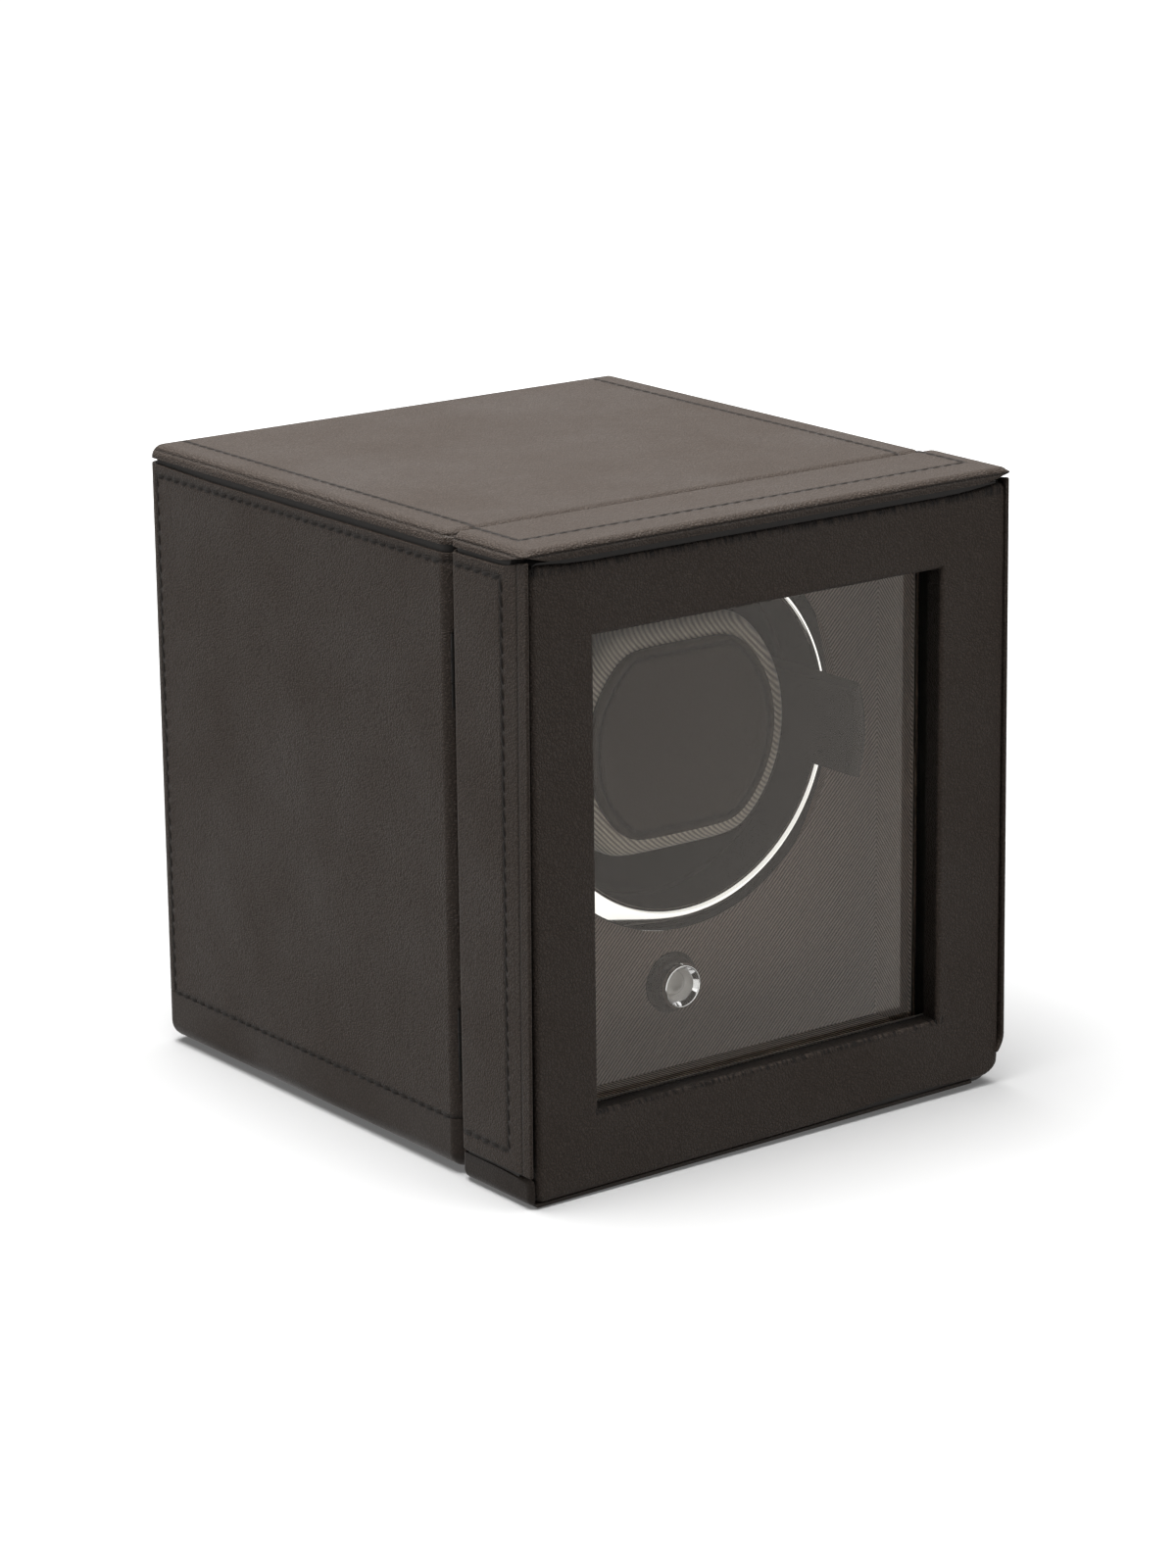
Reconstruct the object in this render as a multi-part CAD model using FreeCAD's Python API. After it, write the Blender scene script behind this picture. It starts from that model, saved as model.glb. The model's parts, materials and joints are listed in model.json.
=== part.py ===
import FreeCAD, Part
import math
import os

V = FreeCAD.Vector

# Single watch winder with a glazed door. Millimetres.
# X to the right, Y from the glass to the back, Z up.
# The origin is on the table under the middle of the winder.

# Overall sizes
width = 134.0              # across the door
height = 143.5             # table to the top of the door
depth = 146.0              # door front to the fittings on the back
door_depth = 27.2          # door front to the middle of the seam
seam_gap = 1.0
case_inset = 0.7           # the case is this much smaller than the door all round
door_lift = 1.0            # table to the underside of the door
case_lift = 1.2            # table to the underside of the case, filled by the feet
back_relief = 0.8          # fittings on the back stand out this far

# Walls and coverings
cover = 1.0                # leatherette with its backing
thin_cover = 0.6           # leatherette under the door
case_wall = 5.9            # side and top boards of the case
case_floor = 5.3           # bottom board of the case
back_board = 4.0
liner_wall = 2.1           # twill over card, case opening
lining = 0.6               # dark cloth inside the door
lip_clearance = 0.5        # liner lip to the door's lining

# Edge roundings
top_round = 4.0            # long top edges
low_round = 4.0            # long bottom edges
seam_round = 3.6           # edges along the seam
rear_round = 3.4           # edges round the back

# Cover joints
lip_drop = 3.0             # rolled edge of a top cover
cover_groove = 1.2         # open joint under a rolled edge
low_joint = 10.5           # side cover to bottom cover, above the underside
door_joint = 7.0           # the same joint on the door
back_cover_margin = 5.0    # back cover in from the case's edges

# Liner and fascia
lip_forward = 5.8          # liner lip stands in front of the case's edge
fascia_depth = 34.2        # door front to the fascia
fascia_thickness = 3.0
lip_round = 0.84           # edges of the liner's lip

# Drum opening
ring_top_margin = 3.5      # ring to the liner above it
ring_lamp_margin = 5.4     # ring to the lamp's bezel below it
ring_width = 5.4
ring_crest_inset = 3.3     # ring's foremost line in from its outer edge
ring_proud = 2.8
ring_inner_proud = 1.68    # ring's inner edge in front of the fascia
ring_edge = 0.3            # thickness of the ring's outer edge
ring_sleeve = 9.8          # sleeve of the ring behind the fascia's face
sleeve_wall = 1.4

# Lamp on the fascia
lamp_x = -2.6
lamp_height = 20.1         # above the liner's floor
lamp_flange = 7.0
lamp_rim = 5.0
lamp_proud = 4.5
lamp_radius = 2.9
lamp_barrel = 3.9
barrel_length = 8.0        # barrel behind the fascia's face
lamp_lip = 0.5             # width of the lamp's rim
lamp_cone = 1.0            # inner cone's bottom in front of the fascia
lens_clearance = 0.1
lens_start = 0.2           # lens dome's base in front of the fascia
lens_flange = 1.0
lens_seat = 3.5            # radius of the lens's flange
lead_radius = 0.3
lead_length = 9.0
lead_offset = 1.27

# Door front
panel_back = 0.6           # front panel behind the cover's front edge
panel_gap = 1.4            # open joint round the front panel
panel_board = 4.0
panel_cover = 0.8
panel_round = 1.5
panel_top_round = 2.4      # upper corners of the front panel
panel_low_round = 5.6      # its lower corners
panel_low_cut = 4.0        # bottom cover's height under the panel's edge
window_side = 18.7         # window in from the door's sides
window_top = 19.8
window_bottom = 17.9
glass_thickness = 2.0
glass_lap = 5.0            # glass behind the panel
retainer_thickness = 3.5
retainer_lap = 2.5         # retainer over the glass
glass_clearance = 0.2

# Door hinges
pivot_inset = 2.5          # pivot in from the door's side
hinge_length = 16.0
hinge_from_low = 29.0      # hinge middles from the door's ends
hinge_from_top = 30.5
knuckle_radius = 1.1
knuckle_gap = 0.2
hinge_pin = 0.5
leaf_thickness = 0.5
leaf_sunk = 0.2
leaf_margin = 0.8          # leaves' inner edge outside the door's cavity
notch_clearance = 0.3
screw_head = 0.95
screw_shank = 0.5
screw_length = 4.5
screw_pitch = 9.6

# Catch
catch_from_low = 37.0
catch_from_top = 39.5
magnet_radius = 1.2
magnet_wall = 0.1          # board left between a magnet and the door's lining
magnet_length = 4.0
plate_length = 1.0

# Drum
cup_cover = 0.9            # cup's rim hidden behind the ring
cup_wall = 1.6
cup_floor = 2.5
cup_start_gap = 0.6        # cup rim behind the ring's sleeve
drive_room = 52.6          # cup's floor to the back of the case
cup_corner = 6.0
cup_boss = 7.0
hub_length = 1.5
shaft_seat = 1.0           # shaft's front end behind the cup's floor
shaft_radius = 3.0
shaft_flat = 2.3           # flat of the shaft from its axis
ledge_height = 1.6
ledge_half_angle = 18.0
ledge_thickness = 2.5
ledge_from_floor = 12.5    # front of the floor to the ledge's rear face
stop_angle = 4.0
stop_gap = 1.0             # degrees between a lug and its stop

# Cuff
cuff_gap = 1.5             # cushion to the wings
cuff_flat_cut = 5.0        # height of the slices off the cushion's disc
cuff_corner = 6.0
cuff_front = 33.7          # door front to the cushion's front face
cuff_seat = 17.6           # cushion's rear face to the cup's floor
cuff_edge = 4.0
patch_inset = 5.3          # patch in from the cushion's rim
patch_flat_inset = 4.3
patch_corner = 3.0
patch_thickness = 1.7
patch_edge = 0.7
tray_inset = 2.0           # tray in from the cushion's rim
tray_flat_inset = 3.0
tray_thickness = 3.0
tray_rib_height = 1.5
tray_rib_half = 0.8
tray_rib_inset = 4.0       # ribs' ends in from the tray's rim
tray_rib_offset = 9.8
wing_clearance = 0.7       # wing to the ledges
wing_wall = 3.2
wing_half_width = 10.8
grip_front = 12.0          # door front to the tip of the finger grip
grip_edge = 1.5
wing_front = 43.0          # door front to the plain wing's tip
lug_end_clearance = 0.6    # lug to the cup
lug_thickness = 3.0
lug_half_angle = 15.0
lug_clearance = 0.4        # lug behind its ledge
lug_root = 1.0             # lug's overlap with its wing

# Drive chassis behind the fascia
house_clearance = 1.8      # cup to the chassis round it
house_wall = 1.8
house_gap = 4.5            # cup floor to the chassis's rear wall
chassis_plate = 2.5
flange_width = 8.1
flange_thickness = 2.5
flange_screws = 4
flange_screw_inset = 5.0   # screws outside the housing's bore
plate_half_width = 22.0
plate_lap = 6.0            # plate over the round housing
foot_depth = 12.0
boss_outer = 8.0
boss_length = 12.0
bush_outer = 5.0
bush_flange = 7.0
bush_flange_thickness = 1.0
running_clearance = 0.06
rib_count = 8
rib_thickness = 1.6
rib_depth = 4.0
drive_screw = 1.2
drive_screw_head = 2.3
drive_screw_head_height = 1.6
drive_screw_skin = 1.0     # screw tips behind the fascia's face
motor_screw_depth = 4.0

# Gear train
gear_module = 0.8
drum_teeth = 64
pinion_teeth = 14
pressure_angle = 20.0
backlash = 0.16
dedendum = 1.25
gear_width = 5.0
gear_gap = 1.4             # bush flange to the gears
idler_direction = -83.0    # idler seen from the drum's axis, degrees from +X
pinion_direction = -97.0   # pinion seen from the idler
idler_pin_radius = 2.0
idler_boss = 4.2
idler_head = 3.2
idler_head_height = 1.0
idler_play = 0.3
drum_gear_rim = 22.4
drum_gear_hub = 7.0
drum_gear_holes = 6
idler_rim_width = 2.6      # idler's rim inside its pitch circle
idler_gear_hub = 4.0
idler_gear_holes = 5
web_relief = 1.5
web_hole = 0.33            # hole radius over the width of the web
output_shaft = 1.5
output_clearance = 1.5
clip_radius = 4.6
clip_thickness = 0.8
clip_groove = 0.6
clip_gap = 0.2             # clip behind the gear
clip_mouth = 1.6
shaft_tail = 2.6

# Motor
gearbox_radius = 12.5
gearbox_length = 14.0
gearbox_end = 4.0          # closed front end of the gearbox
gearbox_gap = 0.5          # least gap from the gearbox to the round housing
motor_radius = 11.5
motor_flat = 9.43          # flats of the motor from its axis
motor_lead_gap = 4.4       # motor's tags to the lamp's leads
motor_round = 0.8
motor_collar = 3.5
motor_collar_length = 1.8
tag_offset = 6.0
tag_half_width = 1.0
tag_half_thickness = 0.3
tag_length = 4.0
ear_reach = 16.0
ear_radius = 3.2
ear_thickness = 4.5

# Battery tray and lid
battery_half_width = 27.0
battery_low = 16.5
battery_high = 47.5
battery_depth = 15.2       # room for the cells in front of the lid
tray_wall = 1.5
lid_half_width = 29.7
lid_thickness = 1.8
lid_clearance = 0.3
lid_height = 34.6
surround = 2.0             # flange round the lid
lid_pin = 0.8
lid_pin_reach = 1.0        # pins past the lid's clearance
lid_pin_end = 0.2
lid_seat = 0.2             # room in front of the lid
lid_groove = 0.4           # depth of the grip grooves
lid_groove_width = 1.0
lid_groove_pitch = 2.0
lid_groove_count = 3
lid_groove_top = 4.5       # first groove below the lid's top
lid_groove_end = 6.0
cell_rib_height = 2.5
cell_rib_half = 0.6
notch_radius = 5.0
notch_depth = 1.2
notch_offset = 3.2         # notch's centre behind the back
contact_thickness = 0.4
contact_size = 9.0
spring_radius = 3.4
spring_height = 4.5
spring_tip = 1.7
contact_lift = 2.8         # contacts above the tray's floor

# Fittings on the back
board_half_width = 23.0
fitting_drop = 33.8        # inlet and switch below the top of the case
board_half_height = 13.0
board_thickness = 1.6
board_from_back = 15.2     # rear face of the board to the back of the case
can_radius = 3.2           # round parts on the board
can_height = 8.0
can_x = 15.0
can_rise = 7.0             # parts above the board's middle
chip_half = 5.0
chip_height = 1.6
chip_x = -4.0
chip_rise = -2.5
socket_half = 5.0
socket_height = 6.0
socket_x = 13.0
socket_rise = -9.0
resistor_width = 1.6
resistor_height = 0.6
resistor_pitch = 2.6
resistor_x = 4.0
resistor_rise = 0.5
resistor_count = 3
jack_x = 13.0
jack_half = 4.5
jack_top = 2.0             # body above the nose's square
jack_collar = 6.7
jack_nose = 5.5
jack_bore = 2.8
jack_pin = 1.0
jack_pin_end = 0.4         # pin's tip inside the back
jack_depth = 9.0
switch_x = -12.0
switch_half_width = 6.4
switch_half_height = 9.4
switch_rim = 1.2
rocker_half_width = 5.0
rocker_half_height = 7.6
rocker_end_gap = 0.8       # room for the rocker's ends as it tips
rocker_pivot_depth = 3.2   # pivot below the case's back
rocker_pin = 0.9
rocker_pin_reach = 0.7
rocker_pin_end = 0.2
rocker_well = 6.5          # depth of the rocker's pocket
rocker_dip = 0.7           # middle of the rocker below its ends
rocker_slope = 1.8
rocker_keel = 2.0
rocker_clearance = 0.3

# Feet
foot_radius = 5.0
foot_peg = 1.6
foot_peg_length = 3.0
foot_chamfer = 0.4
foot_side_inset = 16.3     # feet in from the case's sides, seam and back
foot_front_inset = 15.3
foot_rear_inset = 14.2

# Planes worked out from the sizes above
front = -depth / 2
seam = front + door_depth
door_rear = seam - seam_gap / 2
case_front = seam + seam_gap / 2
case_back = depth / 2 - back_relief
door_half = width / 2
door_top = height
case_half = door_half - case_inset
case_top = height - case_inset
core_half = case_half - cover
core_top = case_top - cover
core_low = case_lift + cover
room_half = core_half - case_wall
room_top = core_top - case_wall
room_low = core_low + case_floor
liner_half = room_half - liner_wall
liner_top = room_top - liner_wall
liner_low = room_low + liner_wall
board_back = case_back - cover
board_rear = board_back - back_board
door_core = door_half - cover
cavity_half = room_half + lip_clearance
cavity_top = room_top + lip_clearance
cavity_low = room_low - lip_clearance
fascia = front + fascia_depth
fascia_rear = fascia + fascia_thickness
panel_front = front + panel_back
panel_rear = panel_front + panel_cover + panel_board
panel_half = door_core - panel_gap
panel_top = door_top - lip_drop + panel_back
window_half = door_half - window_side
window_high = door_top - window_top
window_low = door_lift + window_bottom
glass_rear = panel_rear + glass_thickness
retainer_rear = panel_rear + retainer_thickness
pivot_x = -door_half + pivot_inset
leaf_edge = cavity_half + leaf_margin
hinge_height = (door_lift + hinge_from_low, door_top - hinge_from_top)
catch_height = (door_lift + catch_from_low, door_top - catch_from_top)
catch_x = cavity_half + lining + magnet_wall + magnet_radius
lamp_z = liner_low + lamp_height
ring_room = liner_top - ring_top_margin - ring_lamp_margin - lamp_flange - lamp_z
ring_outer = ring_room / 2
ring_inner = ring_outer - ring_width
ring_crest = ring_outer - ring_crest_inset
drum_z = liner_top - ring_top_margin - ring_outer
cup_rim = fascia + ring_sleeve + cup_start_gap
cup_base = case_back - drive_room
cup_outer = ring_inner + cup_cover
cup_inner = cup_outer - cup_wall
ledge_inner = cup_inner - ledge_height
house_inner = cup_outer + house_clearance
flange_outer = house_inner + flange_width
flange_screw_circle = house_inner + flange_screw_inset
hub_rear = cup_base + cup_floor + hub_length
wall_front = cup_base + cup_floor + house_gap
wall_rear = wall_front + chassis_plate
boss_rear = wall_rear + boss_length - rib_depth
gear_front = boss_rear + bush_flange_thickness + gear_gap
gear_rear = gear_front + gear_width
motor_reach = house_inner + house_wall + gearbox_radius + gearbox_gap
train_bend = math.cos(math.radians(idler_direction - pinion_direction) / 2)
train_teeth = 2 * motor_reach / gear_module / train_bend
idler_teeth = math.ceil((train_teeth - drum_teeth - pinion_teeth) / 2)
drum_pitch = gear_module * drum_teeth / 2
idler_pitch = gear_module * idler_teeth / 2
pinion_pitch = gear_module * pinion_teeth / 2
cuff_face = front + cuff_front
cuff_rear = cup_base - cuff_seat
wing_outer = ledge_inner - wing_clearance
lug_outer = cup_inner - lug_end_clearance
cuff_radius = wing_outer - wing_wall - cuff_gap
cuff_flat = cuff_radius - cuff_flat_cut
patch_radius = cuff_radius - patch_inset
patch_flat = cuff_flat - patch_flat_inset
tray_radius = cuff_radius - tray_inset
tray_flat = cuff_flat - tray_flat_inset
tray_rib_end = tray_radius - tray_rib_inset
motor_front = fascia + barrel_length + lead_length + motor_lead_gap + tag_length
motor_length = wall_front - gearbox_length - motor_front
jack_z = case_top - fitting_drop
switch_z = case_top - fitting_drop
tray_front = case_back - lid_thickness - battery_depth - tray_wall


def box(x0, x1, y0, y1, z0, z1):
    return Part.makeBox(x1 - x0, y1 - y0, z1 - z0, V(x0, y0, z0))


def rod(radius, y0, y1, x=0.0, z=0.0):
    return Part.makeCylinder(radius, y1 - y0, V(x, y0, z), V(0, 1, 0))


def cone(radius0, radius1, y0, y1, x=0.0, z=0.0):
    return Part.makeCone(radius0, radius1, y1 - y0, V(x, y0, z), V(0, 1, 0))


def ring(outer, inner, y0, y1, x=0.0, z=0.0):
    return rod(outer, y0, y1, x, z).cut(rod(inner, y0 - 1, y1 + 1, x, z))


def join(shapes):
    first = shapes[0]
    whole = first.multiFuse(shapes[1:]) if len(shapes) > 1 else first
    return whole.removeSplitter()


def line(a, b):
    return Part.LineSegment(a, b).toShape()


def arc(a, middle, b):
    return Part.Arc(a, middle, b).toShape()


def spin(points_and_edges, x, z):
    """Full turn of a closed profile of edges about the Y axis through x, z."""
    face = Part.Face(Part.Wire(points_and_edges))
    return face.revolve(V(x, 0, z), V(0, 1, 0), 360)


def polygon(points):
    return [line(a, b) for a, b in zip(points, points[1:] + points[:1])]


def rounded_prism(half, low, high, y0, y1, r_low, r_top):
    """Prism along Y with rounded long edges; low and high are its heights."""
    s = math.sqrt(0.5)
    corners = ((half, high, r_top, 1, 1), (-half, high, r_top, -1, 1),
               (-half, low, r_low, -1, -1), (half, low, r_low, 1, -1))
    arcs = []
    for x, z, r, sx, sz in corners:
        cx, cz = x - sx * r, z - sz * r
        ends = [V(x, y0, cz), V(cx, y0, z)]
        if sx != sz:
            ends.reverse()
        arcs.append((ends[0], V(cx + sx * r * s, y0, cz + sz * r * s), ends[1]))
    edges = []
    for this, after in zip(arcs, arcs[1:] + arcs[:1]):
        edges.append(arc(*this))
        edges.append(line(this[2], after[0]))
    return Part.Face(Part.Wire(edges)).extrude(V(0, y1 - y0, 0))


def round_end(shape, y, radius):
    """Round every edge of the shape that lies in the plane at y."""
    edges = [e for e in shape.Edges
             if abs(e.BoundBox.YMin - y) < 1e-4 and abs(e.BoundBox.YMax - y) < 1e-4]
    return shape.makeFillet(radius, edges)


def tube(half_out, low_out, high_out, half_in, low_in, high_in, y0, y1):
    outer = box(-half_out, half_out, y0, y1, low_out, high_out)
    return outer.cut(box(-half_in, half_in, y0 - 1, y1 + 1, low_in, high_in))


def truncated_disc(radius, flat, corner, y0, y1):
    """Disc about the drum's axis, cut flat above and below."""
    disc = rod(radius, y0, y1, 0, drum_z)
    disc = disc.common(box(-radius, radius, y0, y1, drum_z - flat, drum_z + flat))
    edges = [e for e in disc.Edges if abs(e.BoundBox.YLength - (y1 - y0)) < 1e-4
             and abs(abs(e.BoundBox.ZMin - drum_z) - flat) < 1e-4]
    return disc.makeFillet(corner, edges)


def sector(r_in, r_out, y0, y1, middle, half_angle):
    """Part of a ring about the drum's axis, between two angles from +X."""
    def at(radius, angle):
        a = math.radians(angle)
        return V(radius * math.cos(a), y0, drum_z + radius * math.sin(a))
    a0, a1 = middle - half_angle, middle + half_angle
    edges = [arc(at(r_out, a0), at(r_out, middle), at(r_out, a1)),
             line(at(r_out, a1), at(r_in, a1)),
             arc(at(r_in, a1), at(r_in, middle), at(r_in, a0)),
             line(at(r_in, a0), at(r_out, a0))]
    return Part.Face(Part.Wire(edges)).extrude(V(0, y1 - y0, 0))


# Case and door blanks

def case_outer():
    blank = rounded_prism(case_half, case_lift, case_top, case_front, case_back,
                          low_round, top_round)
    blank = round_end(blank, case_front, seam_round)
    return round_end(blank, case_back, rear_round)


def case_core():
    blank = rounded_prism(core_half, core_low, core_top, case_front + cover, board_back,
                          low_round - cover, top_round - cover)
    blank = round_end(blank, case_front + cover, seam_round - cover)
    return round_end(blank, board_back, rear_round - cover)


def door_outer():
    blank = rounded_prism(door_half, door_lift, door_top, front, door_rear,
                          low_round, top_round)
    return round_end(blank, door_rear, seam_round)


def door_inner():
    blank = rounded_prism(door_core, door_lift + cover, door_top - cover,
                          front - 5, door_rear - cover,
                          low_round - cover, top_round - cover)
    return round_end(blank, door_rear - cover, seam_round - cover)


def hinge_notches():
    """Room for the knuckles, cut from both edges of the seam."""
    notches = []
    for z in hinge_height:
        half = hinge_length / 2 + notch_clearance
        notches.append(Part.makeCylinder(knuckle_radius + notch_clearance, 2 * half,
                                         V(pivot_x, seam, z - half), V(0, 0, 1)))
    return Part.makeCompound(notches)


def leaf_pockets():
    """Shallow seats for the hinge leaves on both sides of the seam."""
    pockets = []
    reach = seam_gap / 2 + leaf_sunk
    for z in hinge_height:
        half = hinge_length / 2
        pockets.append(box(pivot_x, -leaf_edge, seam - reach, seam + reach, z - half, z + half))
    return Part.makeCompound(pockets)


def hinge_screw_places():
    x = (pivot_x + knuckle_radius - leaf_edge) / 2
    for z in hinge_height:
        for side in (-1, 1):
            yield x, z + side * screw_pitch / 2


def hinge_screw(x, z, direction):
    """Countersunk screw; direction 1 goes into the case, -1 into the door."""
    face = seam + direction * (seam_gap / 2 + leaf_sunk - leaf_thickness)
    seat = face + direction * leaf_thickness
    tip = face + direction * screw_length
    if direction > 0:
        head = cone(screw_head, screw_shank, face, seat, x, z)
        shank = rod(screw_shank, seat, tip, x, z)
    else:
        head = cone(screw_shank, screw_head, seat, face, x, z)
        shank = rod(screw_shank, tip, seat, x, z)
    return head.fuse(shank)


def hinge_screws(direction):
    return [hinge_screw(x, z, direction) for x, z in hinge_screw_places()]


def hinge_leaves(direction):
    """Leaves with their knuckles: the case has the outer two, the door the middle one."""
    part_length = hinge_length / 3
    leaves = []
    face = seam + direction * (seam_gap / 2 + leaf_sunk - leaf_thickness)
    y0, y1 = sorted((face, face + direction * leaf_thickness))
    for z in hinge_height:
        low = z - hinge_length / 2
        parts = [box(pivot_x + knuckle_radius + knuckle_gap, -leaf_edge, y0, y1,
                     low, low + hinge_length)]
        indices = (0, 2) if direction > 0 else (1,)
        for i in indices:
            z0 = low + i * part_length + (knuckle_gap / 2 if i > 0 else 0)
            z1 = low + (i + 1) * part_length - (knuckle_gap / 2 if i < 2 else 0)
            parts.append(Part.makeCylinder(knuckle_radius, z1 - z0,
                                           V(pivot_x, seam, z0), V(0, 0, 1)))
            parts.append(box(pivot_x, pivot_x + knuckle_radius + 2 * knuckle_gap,
                             y0, y1, z0, z1))
        leaf = join(parts)
        leaf = leaf.cut(Part.makeCylinder(hinge_pin + running_clearance, 2 * hinge_length,
                                          V(pivot_x, seam, z - hinge_length), V(0, 0, 1)))
        leaves.append(leaf)
    screws = Part.makeCompound(hinge_screws(direction))
    return [leaf.cut(screws) for leaf in leaves]


def hinge_pins():
    """Headed pins, carried by the door's knuckles."""
    pins = []
    for z in hinge_height:
        half = hinge_length / 2
        stem = Part.makeCylinder(hinge_pin, hinge_length, V(pivot_x, seam, z - half), V(0, 0, 1))
        cap = Part.makeCylinder(hinge_pin * 1.5, knuckle_gap, V(pivot_x, seam, z + half),
                                V(0, 0, 1))
        pins.append(stem.fuse(cap))
    return pins


def case_boards(blank):
    y0, y1 = case_front, board_rear
    reach = case_half
    pieces = {
        "case_top_board": box(-reach, reach, y0, y1, room_top, case_top),
        "case_bottom_board": box(-reach, reach, y0, y1, case_lift, room_low),
        "case_left_board": box(-reach, -room_half, y0, y1, room_low, room_top),
        "case_right_board": box(room_half, reach, y0, y1, room_low, room_top),
        "case_back_board": box(-reach, reach, board_rear, case_back, case_lift, case_top),
    }
    cuts = {
        "case_left_board": [hinge_notches()] + hinge_screws(1),
        "case_right_board": [rod(magnet_radius, case_front, case_front + cover + plate_length,
                                 catch_x, z) for z in catch_height],
        "case_bottom_board": feet() + [rod(drive_screw, wall_rear - foot_depth / 2 - 1,
                                           wall_rear, 0, 0)],
        "case_back_board": back_openings(),
    }
    for name, region in pieces.items():
        board = blank.common(region)
        tools = cuts.get(name, [])
        yield name, (board.cut(Part.makeCompound(tools)) if tools else board)


def case_covers(outer, blank):
    """Five covers split from one skin, with open joints under the rolled edges."""
    skin = outer.cut(blank).cut(box(-room_half, room_half, case_front - 1, board_rear,
                                    room_low, room_top))
    lip = case_top - lip_drop
    joint = case_lift + low_joint
    reach = case_half + 1
    inner = case_half - back_cover_margin
    panel = box(-inner, inner, board_back - 0.01, case_back + 1,
                case_lift + back_cover_margin + low_joint, lip - back_cover_margin)
    top = box(-reach, reach, case_front - 1, case_back + 1, lip, case_top + 1)
    low = box(-reach, reach, case_front - 1, case_back + 1, case_lift - 1, joint)
    side_region = box(-reach, reach, case_front - 1, case_back + 1, joint, lip - cover_groove)
    sides = skin.common(side_region).cut(panel)
    left = sides.common(box(-reach, 0, case_front - 1, case_back + 1, 0, case_top))
    right = sides.common(box(0, reach, case_front - 1, case_back + 1, 0, case_top))
    left = left.cut(hinge_notches()).cut(leaf_pockets())
    left = left.cut(Part.makeCompound(hinge_screws(1)))
    openings = Part.makeCompound(back_openings())
    yield "case_top_skin", skin.common(top)
    yield "case_bottom_skin", skin.common(low).cut(Part.makeCompound(feet()))
    yield "case_left_skin", left.cut(openings)
    yield "case_right_skin", right.cut(openings)
    yield "case_back_skin", skin.common(panel).cut(openings)


def feet():
    shapes = []
    foot_x = case_half - foot_side_inset
    for x in (-foot_x, foot_x):
        for y in (case_front + foot_front_inset, case_back - foot_rear_inset):
            pad = Part.makeCylinder(foot_radius, case_lift, V(x, y, 0), V(0, 0, 1))
            pad = pad.makeChamfer(foot_chamfer, [pad.Edges[2]])
            peg = Part.makeCylinder(foot_peg, case_lift + foot_peg_length, V(x, y, 0), V(0, 0, 1))
            shapes.append(pad.fuse(peg))
    return shapes


def liner_frame():
    frame = tube(room_half, room_low, room_top, liner_half, liner_low, liner_top,
                 case_front - lip_forward, fascia)
    nose = [e for e in frame.Edges
            if abs(e.BoundBox.YMin - (case_front - lip_forward)) < 1e-4
            and e.BoundBox.YLength < 1e-4]
    return frame.makeFillet(lip_round, nose)


def fascia_panel():
    panel = box(-room_half, room_half, fascia, fascia_rear, room_low, room_top)
    panel = panel.cut(rod(ring_inner + sleeve_wall, fascia - 1, fascia_rear + 1, 0, drum_z))
    panel = panel.cut(rod(lamp_barrel, fascia - 1, fascia_rear + 1, lamp_x, lamp_z))
    return panel.cut(Part.makeCompound(flange_screw_shapes()))


def bezel_ring():
    sleeve = ring_inner + sleeve_wall
    rear = fascia + ring_sleeve
    a = V(ring_inner, rear, drum_z)
    b = V(ring_inner, fascia - ring_inner_proud, drum_z)
    c = V(ring_crest, fascia - ring_proud, drum_z)
    d = V(ring_outer, fascia - ring_edge, drum_z)
    e = V(ring_outer, fascia, drum_z)
    f = V(sleeve, fascia, drum_z)
    g = V(sleeve, rear, drum_z)
    edges = [line(a, b), arc(b, c, d), line(d, e), line(e, f), line(f, g), line(g, a)]
    return spin(edges, 0, drum_z)


def led_bezel():
    bore = lamp_radius + lens_clearance
    points = [V(lamp_x + r, y, lamp_z) for r, y in (
        (bore, fascia + barrel_length),
        (bore, fascia - lamp_cone),
        (lamp_rim - lamp_lip, fascia - lamp_proud),
        (lamp_rim, fascia - lamp_proud),
        (lamp_flange, fascia - lamp_lip),
        (lamp_flange, fascia),
        (lamp_barrel, fascia),
        (lamp_barrel, fascia + barrel_length))]
    return spin(polygon(points), lamp_x, lamp_z)


def led_lamp():
    dome_base = fascia - lens_start
    a = V(lamp_x, dome_base - lamp_radius, lamp_z)
    bend = lamp_radius * math.sqrt(0.5)
    b = V(lamp_x + bend, dome_base - bend, lamp_z)
    c = V(lamp_x + lamp_radius, dome_base, lamp_z)
    rear = fascia + barrel_length
    d = V(lamp_x + lamp_radius, rear, lamp_z)
    e = V(lamp_x + lens_seat, rear, lamp_z)
    f = V(lamp_x + lens_seat, rear + lens_flange, lamp_z)
    g = V(lamp_x, rear + lens_flange, lamp_z)
    body = spin([arc(a, b, c), line(c, d), line(d, e), line(e, f), line(f, g), line(g, a)],
                lamp_x, lamp_z)
    leads = [rod(lead_radius, rear, rear + lead_length, lamp_x + s * lead_offset, lamp_z)
             for s in (-1, 1)]
    return join([body] + leads)


# Door

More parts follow.
